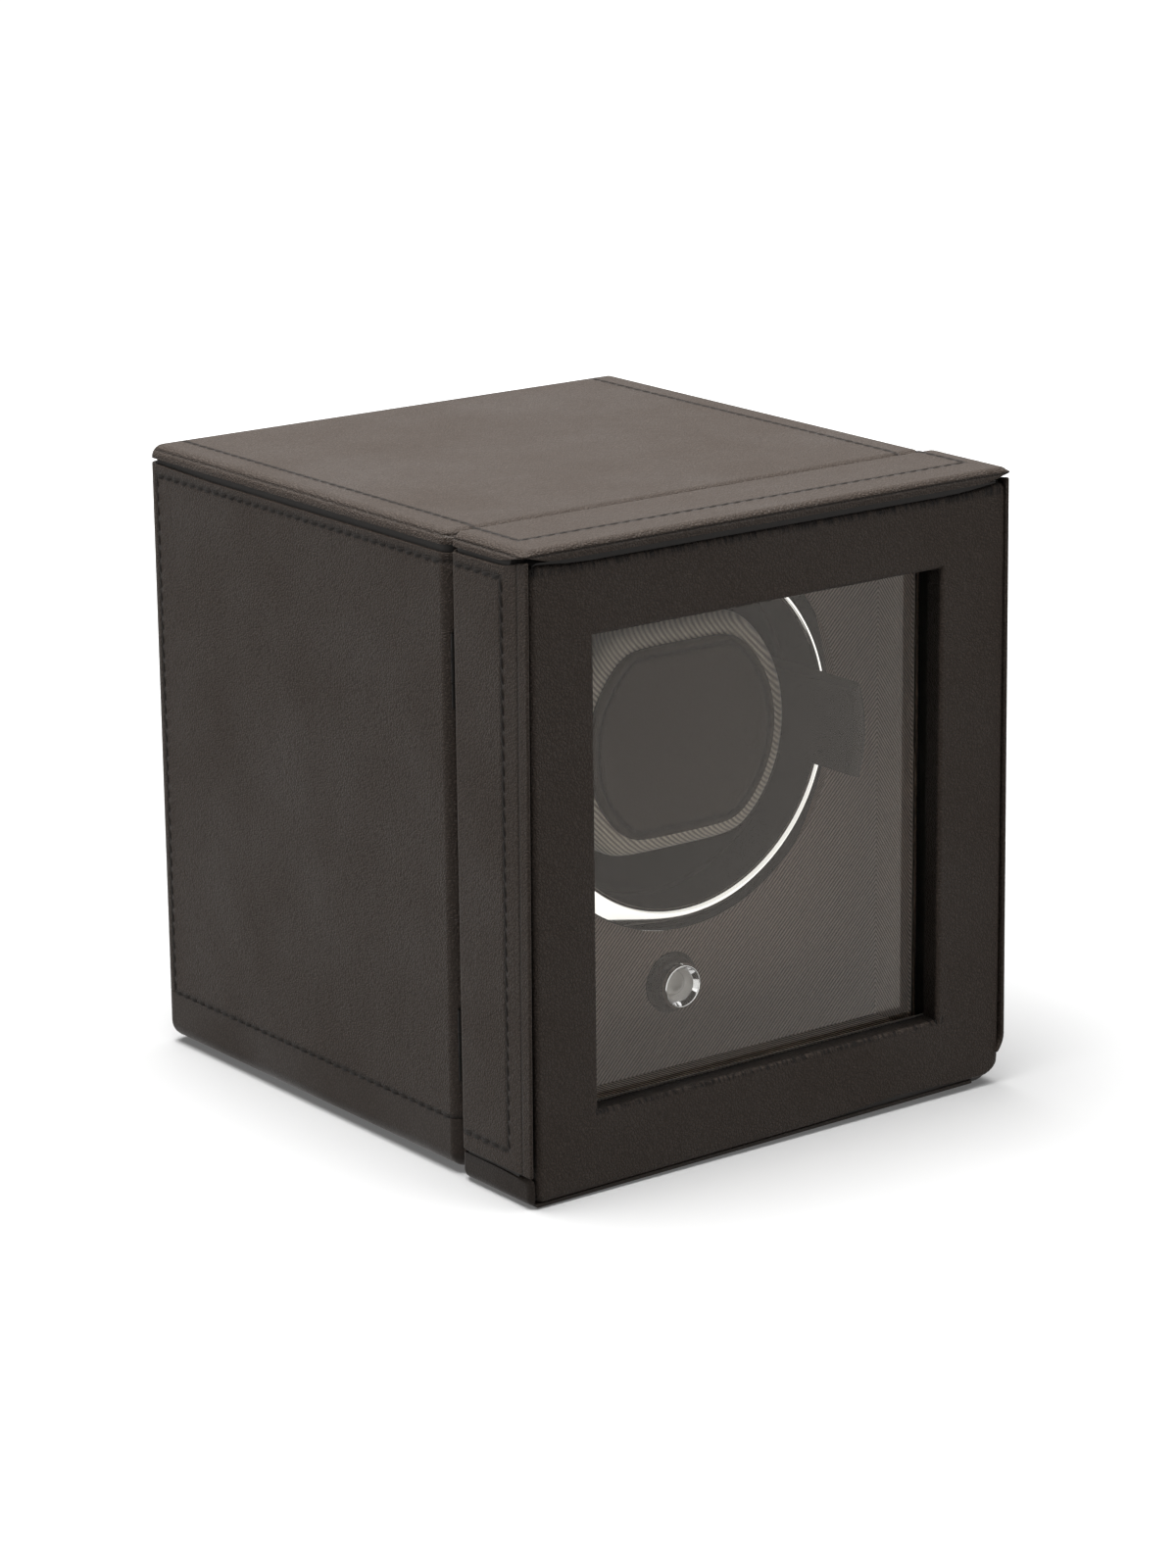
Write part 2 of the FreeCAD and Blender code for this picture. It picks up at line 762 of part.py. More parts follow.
def door_boards(blank):
    boxed = box(-door_half, door_half, panel_rear, door_rear, 0, door_top)
    solid = blank.common(boxed)
    outer_half = cavity_half + lining
    outer_top = cavity_top + lining
    outer_low = cavity_low - lining
    y0, y1 = panel_rear, door_rear
    pieces = {
        "door_top_board": box(-door_half, door_half, y0, y1, outer_top, door_top),
        "door_bottom_board": box(-door_half, door_half, y0, y1, 0, outer_low),
        "door_left_board": box(-door_half, -outer_half, y0, y1, outer_low, outer_top),
        "door_right_board": box(outer_half, door_half, y0, y1, outer_low, outer_top),
    }
    magnet_seat = door_rear - cover
    cuts = {
        "door_left_board": [hinge_notches()] + hinge_screws(-1),
        "door_right_board": [rod(magnet_radius, magnet_seat - magnet_length, magnet_seat,
                                 catch_x, z) for z in catch_height],
    }
    for name, region in pieces.items():
        board = solid.common(region)
        tools = cuts.get(name, [])
        yield name, (board.cut(Part.makeCompound(tools)) if tools else board)


def door_covers(outer, blank):
    """Rolled strips that stand in front of the panel, and the cover under the door."""
    cavity = box(-cavity_half - lining, cavity_half + lining, panel_rear, door_rear + 1,
                 cavity_low - lining, cavity_top + lining)
    skin = outer.cut(blank).cut(cavity)
    low_blank = rounded_prism(door_core + thin_cover, door_lift + cover - thin_cover,
                              door_top, front + panel_back, door_rear,
                              low_round - cover + thin_cover, top_round)
    low_blank = round_end(low_blank, door_rear, seam_round)
    lip = door_top - lip_drop
    joint = door_lift + door_joint
    reach = door_half + 1
    y0, y1 = front - 1, door_rear + 1
    strips = skin.common(box(-reach, reach, y0, y1, joint, lip - cover_groove))
    left = strips.common(box(-reach, 0, y0, y1, 0, door_top))
    right = strips.common(box(0, reach, y0, y1, 0, door_top))
    left = left.cut(hinge_notches()).cut(leaf_pockets())
    left = left.cut(Part.makeCompound(hinge_screws(-1)))
    low = low_blank.cut(blank).cut(cavity).common(box(-reach, reach, y0, y1, 0, joint))
    low = low.cut(box(-reach, reach, y0, panel_rear, 0, door_lift + panel_low_cut))
    yield "door_top_skin", skin.common(box(-reach, reach, y0, y1, lip, door_top + 1))
    yield "door_left_skin", left
    yield "door_right_skin", right
    yield "door_bottom_skin", low


def window(grow, y0, y1):
    return box(-window_half - grow, window_half + grow, y0, y1,
               window_low - grow, window_high + grow)


def door_front_panel():
    inset = cover + panel_gap
    blank = rounded_prism(panel_half - panel_cover, door_lift + panel_cover,
                          panel_top - panel_cover, panel_front + panel_cover, panel_rear,
                          panel_low_round - panel_cover, top_round - inset)
    return blank.cut(window(panel_cover, front, 0))


def door_front_skin(board):
    blank = rounded_prism(panel_half, door_lift, panel_top, panel_front, panel_rear,
                          panel_low_round, panel_top_round)
    blank = round_end(blank, panel_front, panel_round)
    blank = blank.cut(window(0, front, 0))
    rim = [e for e in blank.Edges
           if abs(e.BoundBox.YMin - panel_front) < 1e-4 and e.BoundBox.YLength < 1e-4
           and abs(e.BoundBox.XMin) <= window_half + 0.01
           and abs(e.BoundBox.XMax) <= window_half + 0.01]
    blank = blank.makeFillet(panel_cover, rim)
    return blank.cut(board)


def glass_pane():
    return window(glass_lap, panel_rear, glass_rear)


def glass_retainer():
    half = cavity_half + lining
    frame = box(-half, half, panel_rear, retainer_rear, cavity_low - lining,
                cavity_top + lining)
    frame = frame.cut(window(glass_lap + glass_clearance, panel_rear - 1, glass_rear))
    return frame.cut(window(glass_lap - retainer_lap, panel_rear - 1, retainer_rear + 1))


def door_lining():
    return tube(cavity_half + lining, cavity_low - lining, cavity_top + lining,
                cavity_half, cavity_low, cavity_top, retainer_rear, door_rear)


# Drum and cuff

def d_shaft(radius, y0, y1):
    """Shaft about the drum's axis with a flat on its upper side."""
    shaft = rod(radius, y0, y1, 0, drum_z)
    return shaft.common(box(-radius, radius, y0, y1, drum_z - radius, drum_z + shaft_flat))


def drum_cup():
    floor = cup_base
    back = cup_base + cup_floor
    inner = cup_inner
    lip = cup_wall / 2
    s = math.sqrt(0.5)
    x = V(1, 0, 0)

    def at(r, y):
        return V(r, y, drum_z)
    centre_r = inner - cup_corner
    outer_corner = cup_corner + cup_wall
    edges = [
        line(at(0, floor), at(centre_r, floor)),
        arc(at(centre_r, floor), at(centre_r + cup_corner * s, floor - cup_corner * (1 - s)),
            at(inner, floor - cup_corner)),
        line(at(inner, floor - cup_corner), at(inner, cup_rim + lip)),
        arc(at(inner, cup_rim + lip), at(inner + lip, cup_rim), at(cup_outer, cup_rim + lip)),
        line(at(cup_outer, cup_rim + lip), at(cup_outer, back - outer_corner)),
        arc(at(cup_outer, back - outer_corner),
            at(centre_r + outer_corner * s, back - outer_corner * (1 - s)),
            at(centre_r, back)),
        line(at(centre_r, back), at(cup_boss, back)),
        line(at(cup_boss, back), at(cup_boss, hub_rear)),
        line(at(cup_boss, hub_rear), at(0, hub_rear)),
        line(at(0, hub_rear), at(0, floor)),
    ]
    cup = spin(edges, 0, drum_z)
    ledge_rear = cup_base - ledge_from_floor
    extras = []
    for middle in (0, 180):
        extras.append(sector(ledge_inner, inner + lip, ledge_rear - ledge_thickness,
                             ledge_rear, middle, ledge_half_angle))
        stop_middle = middle - lug_half_angle - stop_angle / 2 - stop_gap
        extras.append(sector(ledge_inner, inner + lip, ledge_rear - ledge_thickness,
                             ledge_rear + lug_thickness + lug_clearance, stop_middle,
                             stop_angle / 2))
    cup = join([cup] + extras)
    return cup.cut(d_shaft(shaft_radius, cup_base + shaft_seat, hub_rear + 1))


def drum_shaft():
    shaft = d_shaft(shaft_radius, gear_front, gear_rear + shaft_tail)
    shaft = shaft.fuse(rod(shaft_radius, hub_rear, gear_front, 0, drum_z))
    shaft = shaft.fuse(d_shaft(shaft_radius, cup_base + shaft_seat, hub_rear))
    y0 = gear_rear + clip_gap
    groove = ring(shaft_radius + 1, shaft_radius - clip_groove, y0, y0 + clip_thickness,
                  0, drum_z)
    return shaft.removeSplitter().cut(groove)


def shaft_clip():
    """Open spring clip in the shaft's groove."""
    y0 = gear_rear + clip_gap
    clip = ring(clip_radius, shaft_radius - clip_groove, y0, y0 + clip_thickness, 0, drum_z)
    mouth = box(-clip_mouth, clip_mouth, y0 - 1, y0 + 2, drum_z - clip_radius - 1, drum_z)
    return clip.cut(mouth)


def cuff_cushion():
    pad = truncated_disc(cuff_radius, cuff_flat, cuff_corner, cuff_face, cuff_rear)
    pad = round_end(pad, cuff_face, cuff_edge)
    return round_end(pad, cuff_rear, cuff_edge / 2)


def cuff_patch():
    patch = truncated_disc(patch_radius, patch_flat, patch_corner,
                           cuff_face - patch_thickness, cuff_face)
    return round_end(patch, cuff_face - patch_thickness, patch_edge)


def cuff_tray():
    """Plate behind the cushion, with ribs and an ear at each end for the wings."""
    y0, y1 = cuff_rear, cuff_rear + tray_thickness
    plate = truncated_disc(tray_radius, tray_flat, cuff_corner, y0, y1)
    reach = wing_outer - wing_wall
    arm = rod(reach, y0, y1, 0, drum_z)
    arm = arm.common(box(-reach, reach, y0, y1, drum_z - wing_half_width,
                         drum_z + wing_half_width))
    ribs = [box(-tray_rib_end, tray_rib_end, y1, y1 + tray_rib_height,
                drum_z + z - tray_rib_half, drum_z + z + tray_rib_half)
            for z in (-tray_rib_offset, 0, tray_rib_offset)]
    return join([plate, arm] + ribs)


def wing(side, tip):
    """End wing of the cuff with its bayonet lug; side is 1 or -1, tip its front end."""
    rear = cuff_rear + tray_thickness
    inner = wing_outer - wing_wall
    half_angle = math.degrees(math.asin(wing_half_width / wing_outer))
    middle = 0 if side > 0 else 180
    body = sector(inner, wing_outer, tip, rear, middle, half_angle)
    front_edges = [e for e in body.Edges
                   if abs(e.BoundBox.YMin - tip) < 1e-4 and e.BoundBox.YLength < 1e-4
                   and e.Length > wing_wall + 1]
    body = body.makeFillet(min(grip_edge, wing_wall * 0.45), front_edges)
    ledge_rear = cup_base - ledge_from_floor
    lug = sector(wing_outer - lug_root, lug_outer, ledge_rear + lug_clearance,
                 ledge_rear + lug_clearance + lug_thickness, middle, lug_half_angle)
    stem = sector(inner, wing_outer, rear, ledge_rear + lug_clearance + lug_thickness,
                  middle, lug_half_angle)
    return join([body, stem, lug])


# Gears

def gear_teeth(teeth, x, z, start_angle, bore, y0, y1):
    """Spur gear: involute flanks as arcs, straight to the root, cut by its bore."""
    pitch = gear_module * teeth / 2
    base = pitch * math.cos(math.radians(pressure_angle))
    tip = pitch + gear_module
    root = pitch - dedendum * gear_module

    def involute(radius):
        if radius <= base:
            return 0.0
        turn = math.sqrt((radius / base) ** 2 - 1)
        return turn - math.atan(turn)

    half = (math.pi / 2 * gear_module - backlash) / 2 / pitch + involute(pitch)

    def at(radius, angle):
        return V(x + radius * math.cos(angle), y0, z + radius * math.sin(angle))

    low = max(base, root)
    middle = (low + tip) / 2
    step = 2 * math.pi / teeth
    flanks = []
    for i in range(teeth):
        a = start_angle + i * step
        rise = [at(r, a - half + involute(r)) for r in (low, middle, tip)]
        fall = [at(r, a + half - involute(r)) for r in (tip, middle, low)]
        foot = at(root, a - half + involute(low)), at(root, a + half - involute(low))
        flanks.append((foot, rise, fall))
    edges = []
    for (foot, rise, fall), after in zip(flanks, flanks[1:] + flanks[:1]):
        if low > root:
            edges.append(line(foot[0], rise[0]))
        edges.append(arc(*rise))
        edges.append(line(rise[2], fall[0]))
        edges.append(arc(*fall))
        if low > root:
            edges.append(line(fall[2], foot[1]))
        edges.append(line(foot[1], after[0][0]))
    blank = Part.Face(Part.Wire(edges)).extrude(V(0, y1 - y0, 0))
    return blank.cut(bore)


def mesh_angle(teeth_a, start_a, teeth_b, direction):
    """Start angle of gear B that puts a space where gear A has a tooth."""
    phase_a = (direction - start_a) * teeth_a / (2 * math.pi)
    return direction + math.pi - (0.5 - phase_a) * 2 * math.pi / teeth_b


def gear_places():
    a1 = math.radians(idler_direction)
    reach1 = drum_pitch + idler_pitch
    idler_x, idler_z = reach1 * math.cos(a1), drum_z + reach1 * math.sin(a1)
    a2 = math.radians(pinion_direction)
    reach2 = idler_pitch + pinion_pitch
    pinion_x = idler_x + reach2 * math.cos(a2)
    pinion_z = idler_z + reach2 * math.sin(a2)
    start_drum = math.pi / 2
    start_idler = mesh_angle(drum_teeth, start_drum, idler_teeth, a1)
    start_pinion = mesh_angle(idler_teeth, start_idler, pinion_teeth, a2)
    return (idler_x, idler_z, start_idler), (pinion_x, pinion_z, start_pinion), start_drum


(idler_x, idler_z, idler_start), (pinion_x, pinion_z, pinion_start), drum_start = gear_places()


def lightened(gear, x, z, rim, hub, holes):
    """Web thinned between the hub and the rim, with round holes through it."""
    for y0, y1 in ((gear_front - 1, gear_front + web_relief),
                   (gear_rear - web_relief, gear_rear + 1)):
        gear = gear.cut(ring(rim, hub, y0, y1, x, z))
    middle = (rim + hub) / 2
    for i in range(holes):
        a = 2 * math.pi * (i + 0.5) / holes
        gear = gear.cut(rod((rim - hub) * web_hole, gear_front - 1, gear_rear + 1,
                            x + middle * math.cos(a), z + middle * math.sin(a)))
    return gear


def drive_gear():
    bore = d_shaft(shaft_radius, gear_front - 1, gear_rear + 1)
    gear = gear_teeth(drum_teeth, 0, drum_z, drum_start, bore, gear_front, gear_rear)
    return lightened(gear, 0, drum_z, drum_gear_rim, drum_gear_hub, drum_gear_holes)


def idler_gear():
    bore = rod(idler_pin_radius + running_clearance, gear_front - 1, gear_rear + 1,
               idler_x, idler_z)
    gear = gear_teeth(idler_teeth, idler_x, idler_z, idler_start, bore, gear_front, gear_rear)
    return lightened(gear, idler_x, idler_z, idler_pitch - idler_rim_width,
                     idler_gear_hub, idler_gear_holes)


def motor_pinion():
    shaft = rod(output_shaft, wall_front - gearbox_length / 2, gear_rear, pinion_x, pinion_z)
    hollow = rod(output_shaft / 2, gear_front - 1, gear_front, pinion_x, pinion_z)
    gear = gear_teeth(pinion_teeth, pinion_x, pinion_z, pinion_start, hollow,
                      gear_front, gear_rear)
    return join([gear, shaft])


def idler_pin():
    """Headed pin pressed into the chassis; the head keeps the idler on."""
    head = gear_rear + idler_play
    stem = rod(idler_pin_radius, wall_rear, head, idler_x, idler_z)
    cap = rod(idler_head, head, head + idler_head_height, idler_x, idler_z)
    return stem.fuse(cap).removeSplitter()


# Drive chassis

def flange_screw_shapes():
    """Screws through the chassis's flange into the back of the fascia."""
    shapes = []
    head_face = fascia_rear + flange_thickness
    for i in range(flange_screws):
        a = math.radians(45 + i * 360 / flange_screws)
        x = flange_screw_circle * math.cos(a)
        z = drum_z + flange_screw_circle * math.sin(a)
        stem = rod(drive_screw, fascia + drive_screw_skin, head_face, x, z)
        head = rod(drive_screw_head, head_face, head_face + drive_screw_head_height, x, z)
        shapes.append(stem.fuse(head))
    return shapes


def motor_screw_shapes():
    """Screws from behind the chassis plate into the gearbox's ears."""
    shapes = []
    for side in (-1, 1):
        x = pinion_x + side * (ear_reach - ear_radius)
        stem = rod(drive_screw, wall_front - motor_screw_depth, wall_rear, x, pinion_z)
        head = rod(drive_screw_head, wall_rear, wall_rear + drive_screw_head_height, x, pinion_z)
        shapes.append(stem.fuse(head))
    return shapes


def drive_chassis():
    flange = ring(flange_outer, house_inner, fascia_rear, fascia_rear + flange_thickness,
                  0, drum_z)
    shell = ring(house_inner + house_wall, house_inner, fascia_rear, wall_rear, 0, drum_z)
    disc = rod(house_inner + house_wall, wall_front, wall_rear, 0, drum_z)
    plate = box(-plate_half_width, plate_half_width, wall_front, wall_rear,
                room_low, drum_z - house_inner + plate_lap)
    foot = box(-plate_half_width, plate_half_width, wall_front - foot_depth, wall_front,
               room_low, room_low + chassis_plate)
    boss = rod(boss_outer, wall_front, boss_rear, 0, drum_z)
    stub = rod(idler_boss, wall_rear, gear_front - idler_play, idler_x, idler_z)
    ribs = []
    for i in range(rib_count):
        rib = box(boss_outer - 1, house_inner + house_wall / 2, wall_rear, wall_rear + rib_depth,
                  drum_z - rib_thickness / 2, drum_z + rib_thickness / 2)
        rib.rotate(V(0, 0, drum_z), V(0, 1, 0), (i + 0.5) * 360 / rib_count)
        ribs.append(rib)
    body = join([flange, shell, disc, plate, foot, boss, stub] + ribs)
    tools = [rod(bush_outer, wall_front - 1, boss_rear + 1, 0, drum_z),
             rod(idler_pin_radius, wall_rear, gear_front + 1, idler_x, idler_z),
             rod(output_shaft + output_clearance, wall_front - 1, wall_rear + 1,
                 pinion_x, pinion_z)]
    tools += flange_screw_shapes() + motor_screw_shapes()
    return body.cut(Part.makeCompound(tools))


def drum_bush():
    body = ring(bush_outer, shaft_radius + running_clearance, wall_front, boss_rear, 0, drum_z)
    collar = ring(bush_flange, shaft_radius + running_clearance, boss_rear,
                  boss_rear + bush_flange_thickness, 0, drum_z)
    return body.fuse(collar).removeSplitter()


def gearbox_case():
    y0, y1 = wall_front - gearbox_length, wall_front
    drum = rod(gearbox_radius, y0, y1, pinion_x, pinion_z)
    ears = [box(pinion_x - ear_reach + ear_radius, pinion_x + ear_reach - ear_radius,
                y1 - ear_thickness, y1, pinion_z - ear_radius, pinion_z + ear_radius)]
    for side in (-1, 1):
        ears.append(rod(ear_radius, y1 - ear_thickness, y1,
                        pinion_x + side * (ear_reach - ear_radius), pinion_z))
    body = join([drum] + ears)
    tools = [rod(output_shaft + running_clearance, y0 + gearbox_end, y1 + 1,
                 pinion_x, pinion_z)]
    return body.cut(Part.makeCompound(tools + motor_screw_shapes()))


def motor_can():
    rear = wall_front - gearbox_length
    can = rod(motor_radius, rear - motor_length, rear, pinion_x, pinion_z)
    flats = box(pinion_x - motor_radius, pinion_x + motor_radius, rear - motor_length, rear,
                pinion_z - motor_flat, pinion_z + motor_flat)
    can = round_end(can.common(flats), rear - motor_length, motor_round)
    collar = rod(motor_collar, rear - motor_length - motor_collar_length, rear - motor_length,
                 pinion_x, pinion_z)
    tags = []
    for side in (-1, 1):
        x = pinion_x + side * tag_offset
        tags.append(box(x - tag_half_width, x + tag_half_width,
                        rear - motor_length - tag_length, rear - motor_length,
                        pinion_z - tag_half_thickness, pinion_z + tag_half_thickness))
    return join([can, collar] + tags)


# Fittings at the back

def lid_bounds():
    low = battery_low - tray_wall
    return low, low + lid_height + 2 * lid_clearance


def lid_pivot():
    low, high = lid_bounds()
    return case_back - lid_thickness / 2, low + lid_clearance + lid_thickness / 2


def battery_tray():
    low, high = lid_bounds()
    flange = box(-lid_half_width - lid_clearance - surround,
                 lid_half_width + lid_clearance + surround,
                 board_rear, case_back, low - surround, high + surround)
    flange = flange.cut(box(-lid_half_width - lid_clearance, lid_half_width + lid_clearance,
                            case_back - lid_thickness - lid_seat, case_back + 1, low, high))
    body = box(-battery_half_width - tray_wall, battery_half_width + tray_wall,
               tray_front, case_back - lid_thickness - lid_seat,
               battery_low - tray_wall, battery_high + tray_wall)
    tray = join([flange, body])
    tray = tray.cut(box(-battery_half_width, battery_half_width, tray_front + tray_wall,
                        case_back, battery_low, battery_high))
    middle = (battery_low + battery_high) / 2
    rib = box(-battery_half_width, battery_half_width, tray_front + tray_wall,
              tray_front + tray_wall + cell_rib_height, middle - cell_rib_half,
              middle + cell_rib_half)
    tray = tray.fuse(rib).removeSplitter()
    y, z = lid_pivot()
    reach = lid_half_width + lid_clearance + lid_pin_reach + lid_pin_end
    bore = Part.makeCylinder(lid_pin + running_clearance, 2 * reach, V(-reach, y, z), V(1, 0, 0))
    notch = Part.makeCylinder(notch_radius, surround, V(0, case_back + notch_offset, high),
                              V(0, 0, 1))
    notch = notch.common(box(-notch_radius, notch_radius, case_back - notch_depth,
                             case_back + 1, high, high + surround))
    return tray.cut(bore).cut(notch)


def battery_lid():
    low, high = lid_bounds()
    y, z = lid_pivot()
    r = lid_thickness / 2
    plate = box(-lid_half_width, lid_half_width, y - r, y + r, z, high - lid_clearance)
    edge = Part.makeCylinder(r, 2 * lid_half_width, V(-lid_half_width, y, z), V(1, 0, 0))
    reach = lid_half_width + lid_clearance + lid_pin_reach
    pins = Part.makeCylinder(lid_pin, 2 * reach, V(-reach, y, z), V(1, 0, 0))
    grooves = []
    for i in range(lid_groove_count):
        top = high - lid_groove_top - i * lid_groove_pitch
        grooves.append(box(-lid_half_width + lid_groove_end, lid_half_width - lid_groove_end,
                           y + r - lid_groove, y + r + 1, top - lid_groove_width, top))
    return join([plate, edge, pins]).cut(Part.makeCompound(grooves))


def battery_contacts():
    """Flat contact plates at the tray's ends, two with conical springs."""
    shapes = []
    cell = (battery_high - battery_low) / 2
    y = tray_front + tray_wall + contact_lift + contact_size / 2
    for row in (0, 1):
        z = battery_low + cell * (row + 0.5)
        for side in (-1, 1):
            x0, x1 = sorted((side * battery_half_width,
                             side * (battery_half_width - contact_thickness)))
            plate = box(x0, x1, y - contact_size / 2, y + contact_size / 2,
                        z - contact_size / 2, z + contact_size / 2)
            if side == (1 if row == 0 else -1):
                plate = join([plate, contact_spring(side, y, z)])
            shapes.append(plate)
    return shapes


def contact_spring(side, y, z):
    """Conical contact spring, drawn as the closed cone that its coils fill."""
    inner_x = side * (battery_half_width - contact_thickness)
    return Part.makeCone(spring_radius, spring_tip, spring_height,
                         V(inner_x, y, z), V(-side, 0, 0))


def jack_back():
    return case_back - board_from_back


def circuit_board():
    y1 = jack_back()
    y0 = y1 - board_thickness
    board = box(-board_half_width, board_half_width, y0, y1,
                jack_z - board_half_height, jack_z + board_half_height)
    chip_z = jack_z + chip_rise
    chip = box(chip_x - chip_half, chip_x + chip_half, y0 - chip_height, y0,
               chip_z - chip_half / 2, chip_z + chip_half / 2)
    socket_z = jack_z + socket_rise
    socket = box(socket_x - socket_half, socket_x + socket_half, y0 - socket_height, y0,
                 socket_z - socket_half / 2, socket_z + socket_half / 2)
    parts = [board, chip, socket]
    can_z = jack_z + can_rise
    resistor_z = jack_z + resistor_rise
    for side in (-1, 1):
        parts.append(rod(can_radius, y0 - can_height, y0, side * can_x, can_z))
    for i in range(resistor_count):
        x = resistor_x + i * resistor_pitch
        parts.append(box(x, x + resistor_width, y0 - resistor_height, y0,
                         resistor_z - resistor_width, resistor_z + resistor_width))
    return parts


def power_jack():
    y0 = jack_back()
    body = box(jack_x - jack_half, jack_x + jack_half, y0, board_rear,
               jack_z - jack_half, jack_z + jack_half + jack_top)
    nose = rod(jack_nose, board_rear - 1, case_back, jack_x, jack_z)
    collar = rod(jack_collar, case_back, case_back + back_relief, jack_x, jack_z)
    bore = rod(jack_bore, case_back + back_relief - jack_depth, case_back + 2, jack_x, jack_z)
    pin = rod(jack_pin, case_back + back_relief - jack_depth, case_back - jack_pin_end,
              jack_x, jack_z)
    return join([join([body, nose, collar]).cut(bore), pin])


def rocker_axis():
    return case_back - rocker_pivot_depth, switch_z


def switch_body():
    y0 = jack_back()
    w, h = switch_half_width, switch_half_height
    body = box(switch_x - w, switch_x + w, y0, case_back, switch_z - h, switch_z + h)
    rim = box(switch_x - w - switch_rim, switch_x + w + switch_rim, case_back,
              case_back + back_relief, switch_z - h - switch_rim, switch_z + h + switch_rim)
    whole = join([body, rim])
    cw = rocker_half_width + rocker_clearance
    ch = rocker_half_height + rocker_end_gap
    whole = whole.cut(box(switch_x - cw, switch_x + cw, case_back - rocker_well, case_back + 2,
                          switch_z - ch, switch_z + ch))
    y, z = rocker_axis()
    reach = cw + rocker_pin_reach + rocker_pin_end
    bore = Part.makeCylinder(rocker_pin + running_clearance, 2 * reach,
                             V(switch_x - reach, y, z), V(1, 0, 0))
    return whole.cut(bore)


def switch_rocker():
    """Rocker with a shallow V top, free to tip both ways about its stub pins."""
    y, z = rocker_axis()
    top = case_back + back_relief
    h, w = rocker_half_height, rocker_half_width
    low, high = y - rocker_slope, y + rocker_slope
    x = switch_x - w
    points = [V(x, top, z - h), V(x, top - rocker_dip, z), V(x, top, z + h),
              V(x, high, z + h), V(x, low, z + rocker_keel), V(x, low, z - rocker_keel),
              V(x, high, z - h)]
    body = Part.Face(Part.Wire(polygon(points))).extrude(V(2 * w, 0, 0))
    reach = w + rocker_clearance + rocker_pin_reach
    pins = Part.makeCylinder(rocker_pin, 2 * reach, V(switch_x - reach, y, z), V(1, 0, 0))
    return join([body, pins])


def back_openings():
    """Cuts through the back board and its cover for the fittings."""
    low, high = lid_bounds()
    half = lid_half_width + lid_clearance + surround
    w, h = switch_half_width, switch_half_height
    y0, y1 = board_rear - 1, case_back + 2
    return [box(-half, half, y0, y1, low - surround, high + surround),
            rod(jack_nose, y0, y1, jack_x, jack_z),
            box(switch_x - w, switch_x + w, y0, y1, switch_z - h, switch_z + h)]


def catch_parts(y0, length):
    return [rod(magnet_radius, y0, y0 + length, catch_x, z) for z in catch_height]


def all_nodes():
    outer, core = case_outer(), case_core()
    yield from case_boards(core)
    yield from case_covers(outer, core)
    yield "liner_frame", liner_frame()
    yield "fascia_panel", fascia_panel()
    yield "bezel_ring", bezel_ring()
    yield "led_bezel", led_bezel()
    yield "led_lamp", led_lamp()
    yield "base_feet", feet()
    yield "hinge_leaves_case", hinge_leaves(1)
    yield "hinge_screws_case", hinge_screws(1)
    yield "catch_plates", catch_parts(case_front + cover, plate_length)
    yield "drive_chassis", drive_chassis()
    yield "drive_screws", flange_screw_shapes() + motor_screw_shapes()
    yield "drum_bush", drum_bush()
    yield "idler_pin", idler_pin()
    yield "gearbox_case", gearbox_case()
    yield "motor_can", motor_can()
    yield "circuit_board", circuit_board()
    yield "power_jack", power_jack()
    yield "switch_body", switch_body()
    yield "battery_tray", battery_tray()
    yield "battery_contacts", battery_contacts()
    door, inner = door_outer(), door_inner()
    yield from door_boards(inner)
    yield from door_covers(door, inner)
    panel = door_front_panel()
    yield "door_front_panel", panel
    yield "door_front_skin", door_front_skin(panel)
    yield "door_lining", door_lining()
    yield "glass_pane", glass_pane()
    yield "glass_retainer", glass_retainer()
    yield "catch_magnets", catch_parts(door_rear - cover - magnet_length, magnet_length)
    yield "hinge_leaves_door", hinge_leaves(-1)
    yield "hinge_pins", hinge_pins()
    yield "hinge_screws_door", hinge_screws(-1)
    yield "drum_cup", drum_cup()
    yield "drum_shaft", drum_shaft()
    yield "drive_gear", drive_gear()
    yield "shaft_clip", shaft_clip()
    yield "cuff_tray", cuff_tray()
    yield "cuff_grip", wing(1, front + grip_front)
    yield "cuff_wing", wing(-1, front + wing_front)
    yield "cuff_cushion", cuff_cushion()
    yield "cuff_patch", cuff_patch()
    yield "idler_gear", idler_gear()
    yield "motor_pinion", motor_pinion()
    yield "switch_rocker", switch_rocker()
    yield "battery_lid", battery_lid()


def main():
    os.makedirs("parts", exist_ok=True)
    count = 0
    for name, shape in all_nodes():
        if isinstance(shape, list):
            shape = Part.makeCompound(shape)
        bad = [s for s in shape.Solids if not s.isValid() or s.Volume <= 0]
        solids = len(shape.Solids)
        print(name, solids, round(sum(s.Volume for s in shape.Solids) / 1000, 3), "cm3",
              "INVALID" if bad or not solids else "")
        shape.exportStep("parts/" + name + ".step")
        count += 1
    print(count, "nodes; idler", round(idler_x, 4), round(idler_z, 4),
          "pinion", round(pinion_x, 4), round(pinion_z, 4),
          "lid pivot", lid_pivot(), "rocker", rocker_axis(), "hinge", pivot_x, seam)


main()
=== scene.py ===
import bpy, bmesh, json, math, random
from mathutils import Matrix, Quaternion, Vector


